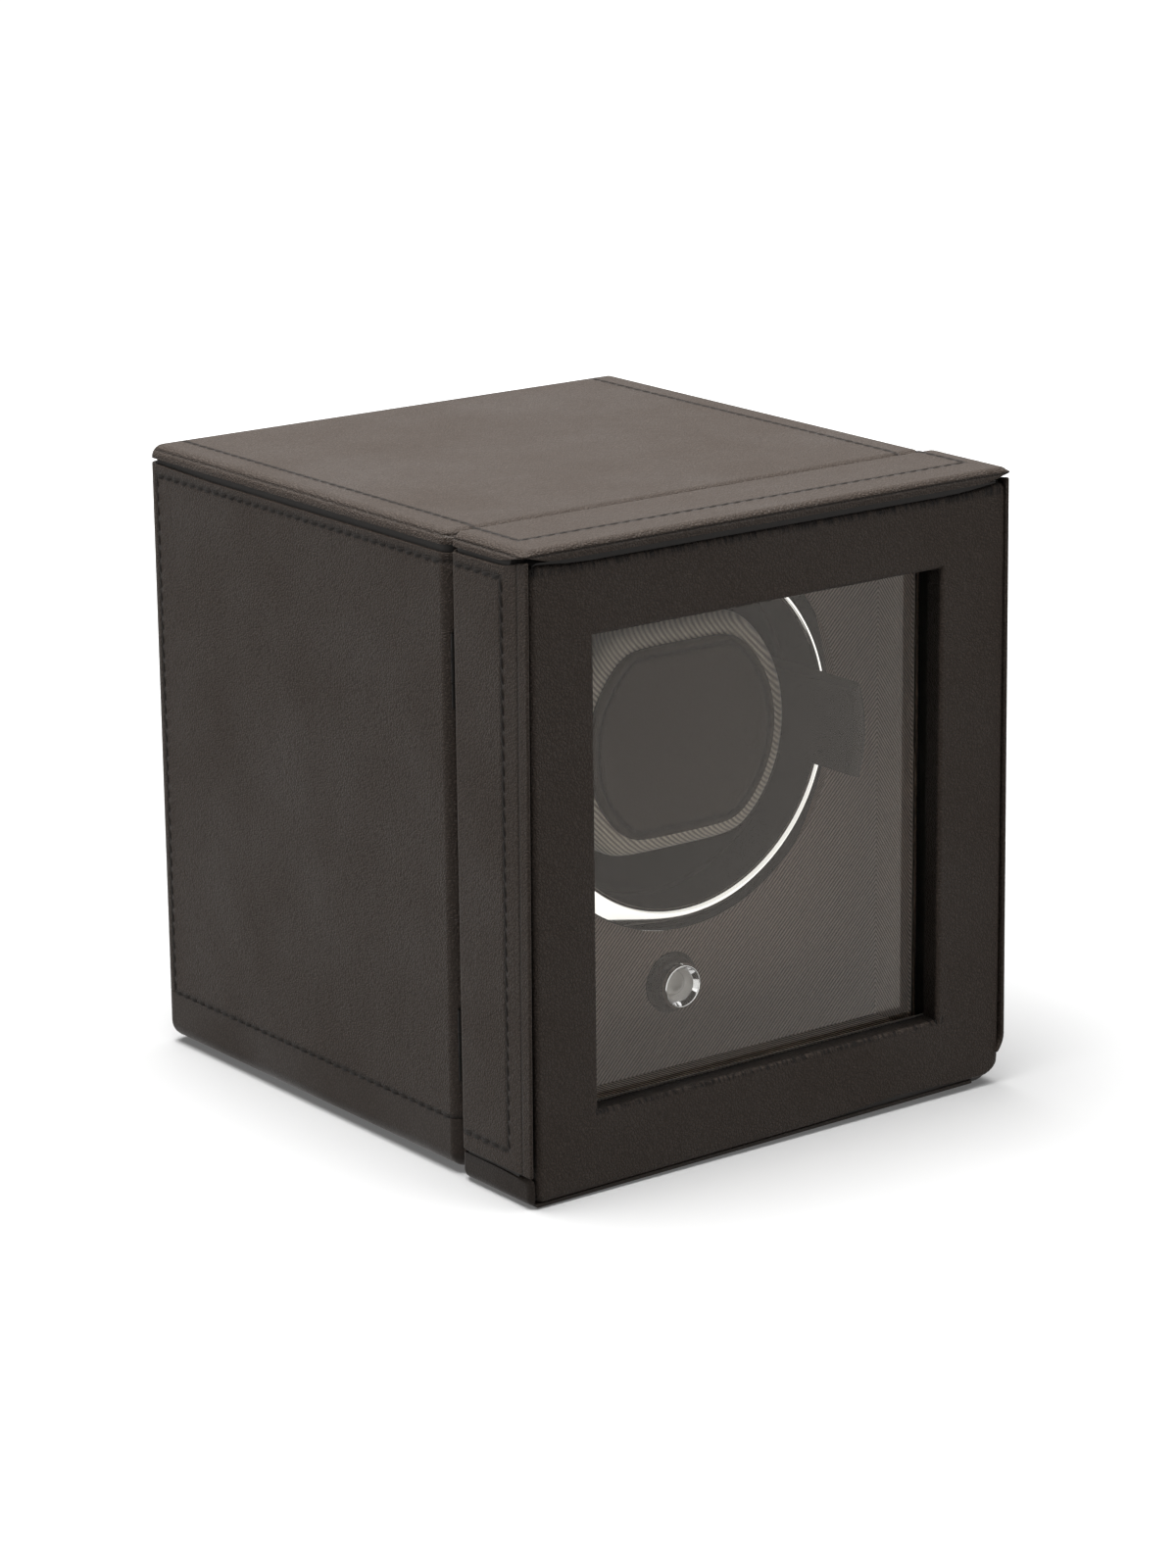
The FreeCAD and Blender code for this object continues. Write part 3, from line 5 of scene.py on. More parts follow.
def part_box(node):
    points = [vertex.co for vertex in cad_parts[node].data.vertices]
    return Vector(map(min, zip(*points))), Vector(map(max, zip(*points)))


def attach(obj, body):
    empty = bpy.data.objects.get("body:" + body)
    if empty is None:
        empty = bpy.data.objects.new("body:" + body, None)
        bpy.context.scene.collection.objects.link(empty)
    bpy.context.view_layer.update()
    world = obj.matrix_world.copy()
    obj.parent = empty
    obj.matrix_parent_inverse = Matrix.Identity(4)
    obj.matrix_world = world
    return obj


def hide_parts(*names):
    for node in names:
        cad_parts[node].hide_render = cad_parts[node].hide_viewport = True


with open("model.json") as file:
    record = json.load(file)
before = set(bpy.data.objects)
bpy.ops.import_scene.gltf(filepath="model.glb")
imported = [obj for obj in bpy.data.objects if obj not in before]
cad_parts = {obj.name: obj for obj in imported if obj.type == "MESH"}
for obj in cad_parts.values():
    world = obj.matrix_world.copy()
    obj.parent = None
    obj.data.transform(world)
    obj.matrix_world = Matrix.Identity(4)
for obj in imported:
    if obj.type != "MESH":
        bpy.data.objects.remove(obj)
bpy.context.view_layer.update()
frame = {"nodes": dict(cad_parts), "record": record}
nodes = frame["nodes"]
mm = 0.001
print("frame loaded:", len(nodes), "nodes")


# Shared helpers. Meshes are built in millimetres and scaled once, when the piece is made.

slack = 0.01                # mm; what lies this close to a plane is on it
hair = 0.02                 # mm left between covers that share a cut
far = 200.0                 # mm, past every edge
pieceRules = {
    "merge": 0.002,         # mm; points closer than this become one
    "rollSegments": 3,
    "rollAngle": 40.0,      # degrees; sharper edges are rolled
    "roundSegments": 8,
}


def span(node):  # lowest and highest corner of a CAD node, in mm
    low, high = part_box(node)
    return low / mm, high / mm


def makePiece(name, bm, body, material, standsFor=(), wall=0.0, roll=0.0, flat=False):
    bmesh.ops.remove_doubles(bm, verts=bm.verts[:], dist=pieceRules["merge"])
    bmesh.ops.recalc_face_normals(bm, faces=bm.faces[:])
    bmesh.ops.scale(bm, vec=(mm, mm, mm), verts=bm.verts[:])
    mesh = bpy.data.meshes.new(name)
    bm.to_mesh(mesh)
    bm.free()
    piece = bpy.data.objects.new(name, mesh)
    bpy.context.scene.collection.objects.link(piece)
    mesh.materials.append(material)
    for polygon in mesh.polygons:
        polygon.use_smooth = not flat
    if wall:
        solid = piece.modifiers.new("wall", "SOLIDIFY")
        solid.thickness = wall * mm
        solid.offset = -1.0
        solid.use_even_offset = True
    if roll:
        rounding = piece.modifiers.new("rolledEdges", "BEVEL")
        rounding.width = roll * mm
        rounding.segments = pieceRules["rollSegments"]
        rounding.limit_method = "ANGLE"
        rounding.angle_limit = math.radians(pieceRules["rollAngle"])
        rounding.harden_normals = False
    if not flat:
        piece.modifiers.new("evenShading", "WEIGHTED_NORMAL").keep_sharp = True
    if standsFor:
        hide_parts(*standsFor)
    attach(piece, body)
    return piece


def bevelEdges(bm, edges, radius, segments):
    bmesh.ops.bevel(bm, geom=edges, offset=radius, offset_type="OFFSET", segments=segments,
                    profile=0.5, affect="EDGES", clamp_overlap=False, material=-1)


def allOn(item, axis, value):  # every point of it lies in the plane axis = value
    return all(abs(v.co[axis] - value) < slack for v in item.verts)


def edgesOn(bm, axis, value):
    return [e for e in bm.edges if allOn(e, axis, value)]


def facesOn(bm, axis, value):
    return [f for f in bm.faces if allOn(f, axis, value)]


def splitAt(bm, axis, value, keep=0):  # keep: 1 the upper side, -1 the lower side, 0 both
    point, normal = Vector((0, 0, 0)), Vector((0, 0, 0))
    point[axis], normal[axis] = value, 1.0
    everything = bm.verts[:] + bm.edges[:] + bm.faces[:]
    bmesh.ops.bisect_plane(bm, geom=everything, dist=1e-4, plane_co=point, plane_no=normal,
                           clear_outer=keep < 0, clear_inner=keep > 0)


def addBox(bm, low, high):
    bmesh.ops.create_cube(bm, size=1.0)
    bmesh.ops.scale(bm, vec=high - low, verts=bm.verts[:])
    bmesh.ops.translate(bm, vec=(low + high) / 2, verts=bm.verts[:])


def roundedBlock(low, high, topRound, lowRound, frontRound=0.0, rearRound=0.0, lowLeft=None):
    bm, segments = bmesh.new(), pieceRules["roundSegments"]
    addBox(bm, low, high)
    leftRound = lowRound if lowLeft is None else lowLeft
    corners = ((topRound, low.x, high.z), (topRound, high.x, high.z),
               (lowRound, high.x, low.z), (leftRound, low.x, low.z))
    for radius, x, z in corners:
        if radius:
            bevelEdges(bm, [e for e in edgesOn(bm, 2, z) if allOn(e, 0, x)], radius, segments)
    for radius, y in ((frontRound, low.y), (rearRound, high.y)):
        if radius:
            bevelEdges(bm, edgesOn(bm, 1, y), radius, segments)
    return bm


def deleteFaces(bm, faces):
    bmesh.ops.delete(bm, geom=faces, context="FACES")


def openEnd(bm, y, low, high):  # swaps an end face for a flange that reaches the opening
    deleteFaces(bm, facesOn(bm, 1, y))
    rim = [e for e in edgesOn(bm, 1, y) if e.is_boundary]
    made = bmesh.ops.extrude_edge_only(bm, edges=rim)["geom"]
    for v in made:
        if isinstance(v, bmesh.types.BMVert):
            v.co.x = max(low.x, min(high.x, v.co.x))
            v.co.z = max(low.z, min(high.z, v.co.z))
    bmesh.ops.remove_doubles(bm, verts=bm.verts[:], dist=slack)


def mirror(bm):
    bmesh.ops.scale(bm, vec=(-1, 1, 1), verts=bm.verts[:])
    bmesh.ops.reverse_faces(bm, faces=bm.faces[:])


# Shader helpers

def newMaterial(name, **values):
    material = bpy.data.materials.new(name)
    material.use_nodes = True
    shader = material.node_tree.nodes["Principled BSDF"]
    for key, value in values.items():
        shader.inputs[key.replace("_", " ")].default_value = value
    return material, material.node_tree, shader


def addNode(tree, kind, inputs=None, **settings):
    node = tree.nodes.new("ShaderNode" + kind)
    for key, value in settings.items():
        setattr(node, key, value)
    for key, value in (inputs or {}).items():
        if isinstance(value, bpy.types.NodeSocket):
            tree.links.new(value, node.inputs[key])
        else:
            node.inputs[key].default_value = value
    return node


def maths(tree, operation, a, b=0.0, clamp=False):
    return addNode(tree, "Math", {0: a, 1: b}, operation=operation, use_clamp=clamp).outputs[0]


def weighted(tree, *terms):  # sum of values, each times its share
    total = None
    for value, share in terms:
        term = maths(tree, "MULTIPLY", value, share)
        total = term if total is None else maths(tree, "ADD", total, term)
    return total


def vectors(tree, operation, a, b=(0.0, 0.0, 0.0), output="Vector"):
    return addNode(tree, "VectorMath", {0: a, 1: b}, operation=operation).outputs[output]


def placeOn(tree):  # a point's place on its own object, so that patterns move with it
    return addNode(tree, "TexCoord").outputs["Object"]


def splitAxes(tree, vector):
    return addNode(tree, "SeparateXYZ", {0: vector}).outputs


def noise(tree, place, scale, detail=2.0):
    return addNode(tree, "TexNoise", {"Vector": place, "Scale": scale, "Detail": detail}).outputs[0]


def mapped(tree, value, low, high, start=0.0, end=1.0, smooth=False):
    kind = "SMOOTHSTEP" if smooth else "LINEAR"
    return addNode(tree, "MapRange", {"Value": value, 1: low, 2: high, 3: start, 4: end},
                   interpolation_type=kind).outputs[0]


def blendColours(tree, amount, a, b):
    mix = addNode(tree, "Mix", data_type="RGBA")
    for index, value in ((0, amount), (6, a), (7, b)):
        if isinstance(value, bpy.types.NodeSocket):
            tree.links.new(value, mix.inputs[index])
        else:
            mix.inputs[index].default_value = value
    return mix.outputs[2]


def toned(colour, share=1.0):
    return [min(1.0, c * share) for c in colour[:3]] + [1]


def addBump(tree, shader, height, strength, depth):
    bump = addNode(tree, "Bump", {"Height": height, "Strength": strength, "Distance": depth * mm})
    tree.links.new(bump.outputs[0], shader.inputs["Normal"])


# Leatherette

mottle = (0.3, 0.7)         # the part of a noise that tells smooth spots from rough ones
leatherLook = {
    "dark": (0.0225, 0.0168, 0.0133),
    "light": (0.0480, 0.0370, 0.0300),
    # painted shade: what the channels, the folds under the lips and the cut-out's edge are darkened
    # to
    "creaseShade": (0.006, 0.0045, 0.0035, 1),
    "pebble": 1350.0,       # grain cells per metre
    "slope": 0.32,          # share of a cell that slopes to its edge
    "wrinkle": 420.0,       # noise cells per metre
    "warp": 0.0013,         # m; how far the wrinkles push the cells
    "fine": 2600.0,
    "broad": 38.0,
    "relief": 0.17,         # mm
    "reliefShares": (0.75, 0.9, 0.22),  # of the pebbles, the wrinkles and the fine grain
    "shadeShares": (0.5, 0.8),          # of the pebbles and the fine grain
    "fineLow": 0.35,
    "rough": (0.46, 0.62),
    "shine": 0.10,
    "pleatStretch": (1500.0, 300.0, 90.0),
    "pleatRange": (0.36, 0.62),
    "pleatDepth": 0.16,
    "pleatEnd": 0.4,        # mm over which the pleats fade out on top
    # painted shade in the pleats' folds
    "pleat": (0.004, 0.003, 0.0025, 1),
    # painted shade: mm over which the cut-out's darkening fades in
    "cutShadeFade": 0.7,
}


def seamDip(tree, place, sides, width):  # 1 along the edges of a box of stitching, 0 elsewhere
    axes, reach = splitAxes(tree, place), None
    for axis, centre, half in sides:
        if axis == "round":  # distance from the drum's axis
            flat = vectors(tree, "MULTIPLY", place, (1.0, 0.0, 1.0))
            off = vectors(tree, "DISTANCE", flat, (0.0, 0.0, centre * mm), "Value")
        else:
            off = maths(tree, "ABSOLUTE", maths(tree, "SUBTRACT", axes[axis], centre * mm))
        out = maths(tree, "SUBTRACT", off, half * mm)
        reach = out if reach is None else maths(tree, "MAXIMUM", reach, out)
    near = maths(tree, "DIVIDE", reach, width * mm)
    square = maths(tree, "MULTIPLY", near, near)
    return maths(tree, "EXPONENT", maths(tree, "MULTIPLY", square, -1.0))


def pleatMask(tree, place, low, high, fade, half):  # 1 between two heights of the front panel
    axes, end = splitAxes(tree, place), leatherLook["pleatEnd"]
    rise = mapped(tree, axes["Z"], (low - fade) * mm, low * mm, smooth=True)
    fall = mapped(tree, axes["Z"], high * mm, (high + end) * mm, smooth=True)
    across = maths(tree, "LESS_THAN", maths(tree, "ABSOLUTE", axes["X"]), half * mm)
    return maths(tree, "MULTIPLY", maths(tree, "SUBTRACT", rise, fall, clamp=True), across)


def leather(name, look=leatherLook, tone=1.0, dips=(), pleats=(), cutShadeFrom=None):
    material, tree, shader = newMaterial(name, Specular_IOR_Level=look["shine"])
    place = placeOn(tree)
    wrinkles = noise(tree, place, look["wrinkle"], 3.0)
    push = vectors(tree, "SUBTRACT", wrinkles.node.outputs["Color"], (0.5, 0.5, 0.5))
    push = vectors(tree, "MULTIPLY", push, (look["warp"],) * 3)
    bent = vectors(tree, "ADD", place, push)
    cells = addNode(tree, "TexVoronoi", {"Vector": bent, "Scale": look["pebble"]},
                    feature="DISTANCE_TO_EDGE").outputs["Distance"]
    grain = mapped(tree, cells, 0.0, look["slope"], smooth=True)
    fine = noise(tree, place, look["fine"])
    broad = noise(tree, place, look["broad"], 3.0)
    height = weighted(tree, *zip((grain, wrinkles, fine), look["reliefShares"]))
    height = maths(tree, "MULTIPLY", height, look["relief"])
    specks = maths(tree, "SUBTRACT", fine, look["fineLow"])
    shade = weighted(tree, *zip((grain, specks), look["shadeShares"]))
    colour = blendColours(tree, shade, toned(look["dark"], tone), toned(look["light"], tone))
    for sides, width, depth, dipShade in dips:
        dip = seamDip(tree, place, sides, width)
        height = maths(tree, "SUBTRACT", height, maths(tree, "MULTIPLY", dip, depth))
        # painted shade: the channels are darkened towards the crease colour
        colour = blendColours(tree, maths(tree, "MULTIPLY", dip, dipShade), colour, look["creaseShade"])
    for pleat in pleats:
        stretched = vectors(tree, "MULTIPLY", place, look["pleatStretch"])
        fold = mapped(tree, noise(tree, stretched, 1.0), *look["pleatRange"])
        folded = maths(tree, "MULTIPLY", fold, pleatMask(tree, place, *pleat))
        dent = maths(tree, "MULTIPLY", folded, look["pleatDepth"])
        height = maths(tree, "SUBTRACT", height, dent)
        # painted shade: the leather is darkened in the pleats' folds
        colour = blendColours(tree, folded, colour, look["pleat"])
    if cutShadeFrom is not None:  # painted shade: the cut-out's edge is darkened from this depth inwards
        depth = splitAxes(tree, place)["Y"]
        inside = mapped(tree, depth, cutShadeFrom * mm, (cutShadeFrom + look["cutShadeFade"]) * mm)
        colour = blendColours(tree, inside, colour, look["creaseShade"])
    addBump(tree, shader, height, 1.0, 1.0)
    tree.links.new(colour, shader.inputs["Base Color"])
    rough = mapped(tree, broad, *mottle, *look["rough"])
    tree.links.new(rough, shader.inputs["Roughness"])
    return material


# Twill

twillLook = {
    "rib": 0.80,            # mm across one diagonal rib
    "thread": 0.42,         # mm between the threads along a rib
    "relief": 0.09,
    "knots": 0.2,           # share of the relief that the threads make
    "waver": 260.0,
    "waverShare": 0.3,
    "speck": 900.0,
    "speckRange": (0.8, 1.1),
    "floorRib": 1.1,
    "floorAcross": (1, 0.12, 0),
    "floorBelow": 0.06,     # m; a face that looks up above this isn't the floor
    "facing": 0.6,          # least part of the normal that makes a wall or a floor
    # painted shade: the colour of the rib valleys
    "valleyShade": (0.125, 0.098, 0.085, 1),
    "crest": (0.58, 0.465, 0.400, 1),
    # painted highlight: lighter crests on the liner's floor
    "floorLitCrest": (0.85, 0.76, 0.68, 1),
    "rough": 0.8,
    "shine": 0.06,
    "sheen": 0.15,
    "sheenRough": 0.45,
}


def twill(name, along, across, look=twillLook, wallAlong=None, wallAcross=None):
    material, tree, shader = newMaterial(
        name, Roughness=look["rough"], Specular_IOR_Level=look["shine"],
        Sheen_Weight=look["sheen"], Sheen_Roughness=look["sheenRough"])
    place = placeOn(tree)

    def measure(direction, pitch):
        size = math.sqrt(sum(c * c for c in direction))
        step = tuple(c / size / (pitch * mm) for c in direction)
        return vectors(tree, "DOT_PRODUCT", place, step, "Value")

    def wave(value):  # 0 in the gaps, 1 on the crests
        turn = maths(tree, "COSINE", maths(tree, "MULTIPLY", value, math.tau))
        return maths(tree, "ADD", maths(tree, "MULTIPLY", turn, 0.5), 0.5)

    def choose(pick, a, b):
        return addNode(tree, "Mix", {0: pick, 2: a, 3: b}, data_type="FLOAT").outputs[0]

    ribs, threads = measure(across, look["rib"]), measure(along, look["thread"])
    crest = look["crest"]
    if wallAlong:  # walls and floor have their own directions, picked by the face's normal; the floor's crests are also lighter, a painted highlight
        facing = splitAxes(tree, addNode(tree, "NewGeometry").outputs["Normal"])
        isWall = maths(tree, "GREATER_THAN", maths(tree, "ABSOLUTE", facing["X"]), look["facing"])
        isFloor = maths(tree, "GREATER_THAN", facing["Z"], look["facing"])
        isLow = maths(tree, "LESS_THAN", splitAxes(tree, place)["Z"], look["floorBelow"])
        isFloor = maths(tree, "MULTIPLY", isFloor, isLow)
        ribs = choose(isWall, ribs, measure(wallAcross, look["rib"]))
        ribs = choose(isFloor, ribs, measure(look["floorAcross"], look["floorRib"]))
        threads = choose(isWall, threads, measure(wallAlong, look["thread"]))
        # painted highlight: the floor's crests are lighter
        crest = blendColours(tree, isFloor, crest, look["floorLitCrest"])
    waver = noise(tree, place, look["waver"])
    ribs = maths(tree, "ADD", ribs, maths(tree, "MULTIPLY", waver, look["waverShare"]))
    offset = maths(tree, "MULTIPLY", maths(tree, "FLOOR", ribs), 0.5)  # every other rib
    knots = maths(tree, "MULTIPLY", wave(maths(tree, "ADD", threads, offset)), look["knots"])
    knots = maths(tree, "ADD", knots, 1.0 - look["knots"])
    height = maths(tree, "MULTIPLY", wave(ribs), knots)
    addBump(tree, shader, height, 1.0, look["relief"])
    speck = mapped(tree, noise(tree, place, look["speck"]), *mottle, *look["speckRange"])
    # painted shade: the valleys between the ribs are darkened
    shade = maths(tree, "MULTIPLY", height, speck, clamp=True)
    tree.links.new(blendColours(tree, shade, look["valleyShade"], crest), shader.inputs["Base Color"])
    return material


# Plastic, metal, glass, board and cloth

plainLook = {               # noise cells per metre
    "smear": 60.0,
    "spots": 1800.0,
    "haze": 90.0,
    "brush": 900.0,
    "fibre": 900.0,
    "nap": 1400.0,
}


def plastic(name, colour, rough, relief=0.0, spots=plainLook["spots"], shine=0.5):
    material, tree, shader = newMaterial(name, Specular_IOR_Level=shine)
    place = placeOn(tree)
    smear = noise(tree, place, plainLook["smear"])
    spread = mapped(tree, smear, *mottle, rough * 0.85, rough * 1.15)
    tree.links.new(spread, shader.inputs["Roughness"])
    colour = blendColours(tree, smear, toned(colour), toned(colour, 1.25))
    tree.links.new(colour, shader.inputs["Base Color"])
    if relief:
        addBump(tree, shader, noise(tree, place, spots), 0.6, relief)
    return material


def metal(name, colour, rough, brushed=0.0):
    material, tree, shader = newMaterial(name, Metallic=1.0)
    place = placeOn(tree)
    haze = noise(tree, place, plainLook["haze"], 3.0)
    spread = mapped(tree, haze, *mottle, rough * 0.7, rough * 1.3)
    tree.links.new(spread, shader.inputs["Roughness"])
    colour = blendColours(tree, haze, toned(colour, 0.93), toned(colour))
    tree.links.new(colour, shader.inputs["Base Color"])
    if brushed:
        addBump(tree, shader, noise(tree, place, plainLook["brush"]), 0.3, brushed)
    return material


paneLook = {
    "bend": 1.25,           # refractive index of the reflection
    "tint": (0.98, 0.98, 0.97, 1),
    "mirror": (1.0, 0.93, 0.87, 1),
    "rough": 0.02,
}


def clearGlass(name, look=paneLook):  # thin clear sheet: see-through, with a Fresnel reflection
    material, tree, shader = newMaterial(name)
    tree.nodes.remove(shader)
    clear = addNode(tree, "BsdfTransparent", {"Color": look["tint"]})
    shine = addNode(tree, "BsdfGlossy", {"Roughness": look["rough"], "Color": look["mirror"]})
    edge = addNode(tree, "Fresnel", {"IOR": look["bend"]})
    mix = addNode(tree, "MixShader", {0: edge.outputs[0], 1: clear.outputs[0], 2: shine.outputs[0]})
    tree.links.new(mix.outputs[0], tree.nodes["Material Output"].inputs["Surface"])
    return material


def fibrous(name, dark, light, cells, detail, strength, depth, **values):
    material, tree, shader = newMaterial(name, **values)
    fibre = noise(tree, placeOn(tree), cells, detail)
    tree.links.new(blendColours(tree, fibre, dark, light), shader.inputs["Base Color"])
    addBump(tree, shader, fibre, strength, depth)
    return material


# Where the covers are sewn, and the materials of every slot

line = {                    # mm; the covers' channels and the threads share these
    "caseInset": 8.0,       # from the case's sides, on top
    "caseRear": 68.2,
    "caseTop": 136.1,
    "caseLow": 12.9,
    "caseStart": -43.0,     # the threads begin behind the seam's round
    "caseLip": 1.15,        # fold below the top
    "topEnds": (3.2, 3.0),  # free ends of the case's top rows, at the seam and the rear
    "doorInset": 6.0,
    "doorFront": -63.6,
    "doorEnd": -47.4,
    "lidLip": 1.5,
    "stripFront": -65.2,
    "stripTop": 136.9,
    "stripLow": 11.8,
    "stripEnd": -48.8,
    "stripFold": -70.2,
    "patchInset": 1.9,
}
channel = {                 # width and depth in mm, and how dark the painted shade in it is
    "top": (0.6, 0.42, 0.8),
    "side": (0.6, 0.35, 0.7),
    "patch": (0.6, 0.5, 0.9),
    "caseLip": (0.3, 0.22, 0.5),
    "lidLip": (0.28, 0.3, 0.6),
    "stripFold": (0.35, 0.25, 0.5),
}
# the leather is darkened there as painted shade
panelPleats = (             # low and high edge, fade and half width of the gathered leather, mm
    (138.2, 150.0, 1.5, far),
    (18.3, 19.3, 0.9, 49.0),
)
windowShadeFrom = -71.9          # painted shade: the cut-out is darkened behind this depth
drumZ = 86.2                # height of the drum's axis


def boxSides(*spans):  # axis, low and high of each pair of lines
    return tuple((axis, (low + high) / 2, (high - low) / 2) for axis, low, high in spans)


def sewn(kind, *spans):
    return (boxSides(*spans), *channel[kind])


caseTop, caseLow = span("case_top_skin"), span("case_bottom_skin")
doorTop = span("door_top_skin")
patchLow, patchHigh = span("cuff_patch")
caseReach, doorReach = caseTop[1].x - line["caseInset"], doorTop[1].x - line["doorInset"]
caseFold, lidFold = caseTop[1].z - line["caseLip"], doorTop[1].z - line["lidLip"]
patchRound = patchHigh.x - line["patchInset"]
patchFlat = patchHigh.z - drumZ - line["patchInset"]
patchSides = ((2, drumZ, patchFlat), ("round", drumZ, patchRound))

leatherette = leather("leatherette")
caseTopLeather = leather("caseTopLeather", dips=(
    sewn("top", (0, -caseReach, caseReach)),
    sewn("caseLip", (2, caseFold, caseFold))))
doorTopLeather = leather("doorTopLeather", dips=(
    sewn("top", (0, -doorReach, doorReach), (1, line["doorFront"], far)),
    sewn("lidLip", (2, lidFold, lidFold))))
caseSideLeather = leather("caseSideLeather", dips=(
    sewn("side", (1, -far, line["caseRear"]), (2, line["caseLow"], line["caseTop"])),))
doorSideLeather = leather("doorSideLeather", dips=(
    sewn("side", (1, line["stripFront"], far), (2, line["stripLow"], line["stripTop"])),
    sewn("stripFold", (1, line["stripFold"], line["stripFold"]))))
panelLeather = leather("panelLeather", pleats=panelPleats, cutShadeFrom=windowShadeFrom)
smoothLook = dict(leatherLook, relief=0.05)
# painted shade: the lower covers are darker copies of the leatherette; the door's wrap, which faces
# down, is the darkest
caseLowShaded = leather("caseLowShaded", smoothLook, 0.85)
doorLowShaded = leather("doorLowShaded", smoothLook, 0.6)
patchLook = dict(leatherLook, pebble=1100.0, relief=0.07, shine=0.05)
patchLeather = leather("patchLeather", patchLook, 1.3, dips=((patchSides, *channel["patch"]),))
twillFascia = twill("twillFascia", along=(1, 0, 1), across=(1, 0, -1))
twillLiner = twill("twillLiner", along=(1, 1, 0), across=(1, -1, 0),
                   wallAlong=(0, 1, 1), wallAcross=(0, 1, -1))
cushionLook = dict(twillLook, rib=0.85, sheen=0.8, crest=(1.0, 0.92, 0.80, 1),
                   valleyShade=(0.34, 0.28, 0.235, 1))
twillCushion = twill("twillCushion", along=(1, 1, 0), across=(1, -1, 1), look=cushionLook)
chrome = metal("chrome", (0.90, 0.90, 0.91), 0.05)
ringChrome = metal("ringChrome", (0.96, 0.94, 0.92), 0.04)
# painted reflection: a dark metal for the lamp bezel's flange and skirt, standing for the dark room
darkReflectChrome = metal("darkReflectChrome", (0.10, 0.095, 0.09), 0.12)
steel = metal("steel", (0.55, 0.55, 0.56), 0.30, brushed=0.01)
hingeMetal = metal("hingeMetal", (0.004, 0.0035, 0.003), 0.6)
bronze = metal("bronze", (0.50, 0.34, 0.18), 0.35)
milkyLens = plastic("milkyLens", (0.62, 0.60, 0.57), 0.12)
glossBlack = plastic("glossBlack", (0.027, 0.023, 0.021), 0.5, shine=0.06)
mattBlack = plastic("mattBlack", (0.013, 0.012, 0.012), 0.45, relief=0.02)
gearNylon = plastic("gearNylon", (0.66, 0.64, 0.58), 0.45)
circuitGreen = plastic("circuitGreen", (0.02, 0.12, 0.05), 0.35)
rubber = plastic("rubber", (0.02, 0.02, 0.02), 0.75, relief=0.03)
threadDark = plastic("threadDark", (0.0075, 0.006, 0.005), 0.7, shine=0.12)
patchYarn = plastic("patchYarn", (0.010, 0.008, 0.007), 0.6, shine=0.10)
# painted highlight: a light strip for the glass's lower edge
edgeHighlight = plastic("edgeHighlight", (0.20, 0.19, 0.18), 0.4, relief=0.05, spots=500.0)
paneGlass = clearGlass("paneGlass")
# painted shade: the board is near-black, so the grooves where it shows read dark
shadedBoard = fibrous("shadedBoard", (0.008, 0.007, 0.006, 1), (0.016, 0.013, 0.011, 1),
                     plainLook["fibre"], 4.0, 0.5, 0.05, Roughness=0.8)
darkCloth = fibrous("darkCloth", (0.006, 0.005, 0.0045, 1), (0.012, 0.010, 0.009, 1),
                    plainLook["nap"], 3.0, 0.7, 0.08, Roughness=0.95, Sheen_Weight=0.2)
slotMaterials = {
    "board": shadedBoard, "leatherette": leatherette, "twill": twillFascia,
    "cushion_twill": twillCushion, "dark_cloth": darkCloth, "chrome": chrome,
    "clear_lens": paneGlass, "rubber": rubber, "hinge_metal": hingeMetal, "steel": steel,
    "bronze": bronze, "moulded_plastic": mattBlack, "gloss_black": glossBlack,
    "gear_nylon": gearNylon, "circuit": circuitGreen, "glass": paneGlass,
}
for part in frame["record"]["subparts"]:
    node = nodes[part["node"]]
    node.data.materials.clear()
    node.data.materials.append(slotMaterials[part["material_slot"]])
nodes["liner_frame"].data.materials[0] = twillLiner
for name in ("drum_cup", "cuff_tray"):
    nodes[name].data.materials[0] = glossBlack
print("materials set")


# Leatherette covers of the case and the door

coverShape = {
    "wall": 0.9,            # mm of leatherette and backing
    "roll": 0.42,           # rounding of its folded edges
    "topRound": 3.0,        # has to be more than the rounds at the seam and the rear
    "lowRound": 4.0,
    "seamRound": 2.8,
    "rearRound": 2.8,
    "groove": 0.6,          # more of a joint than the lip's own, tapered at the rear
    "grooveTaper": 46.0,    # depth where the taper starts
    "doorLow": 1.0,
    "stripLow": 7.5,        # lower edge of the door's side strips
    "stripCuts": 4,         # finer mesh at a strip's front and lower end
    "cutAcross": 2.2,
    "cutUp": 1.1,
    "shoulder": 1.8,        # the strips rise to the lid's corners
    "shoulderIn": 0.9,
    "shoulderReach": 5.0,
    "tuck": 1.9,            # the right strip's lower end turns in
    "tuckHeight": 4.5,
    "tuckFrom": 60.0,       # outside this width
    "press": 0.25,          # the seam's corners give this much way to the opened door
    "pressReach": 1.2,
}
caseSide, caseBack = span("case_left_skin"), span("case_back_skin")
doorSide, lining, liner = span("door_left_skin"), span("door_lining"), span("liner_frame")


def caseBlock():  # the case as one shell, open at the seam as far as the liner
    low = Vector((caseTop[0].x, caseTop[0].y, caseLow[0].z))
    bm = roundedBlock(low, caseTop[1], coverShape["topRound"], coverShape["lowRound"],
                      coverShape["seamRound"], coverShape["rearRound"])
    openEnd(bm, caseTop[0].y, *liner)
    return bm


def doorBlock(frontRound=0.0):
    low = Vector((doorTop[0].x, doorTop[0].y, coverShape["doorLow"]))
    bm = roundedBlock(low, doorTop[1], coverShape["topRound"], coverShape["lowRound"],
                      frontRound, coverShape["seamRound"])
    openEnd(bm, doorTop[1].y, *lining)
    return bm


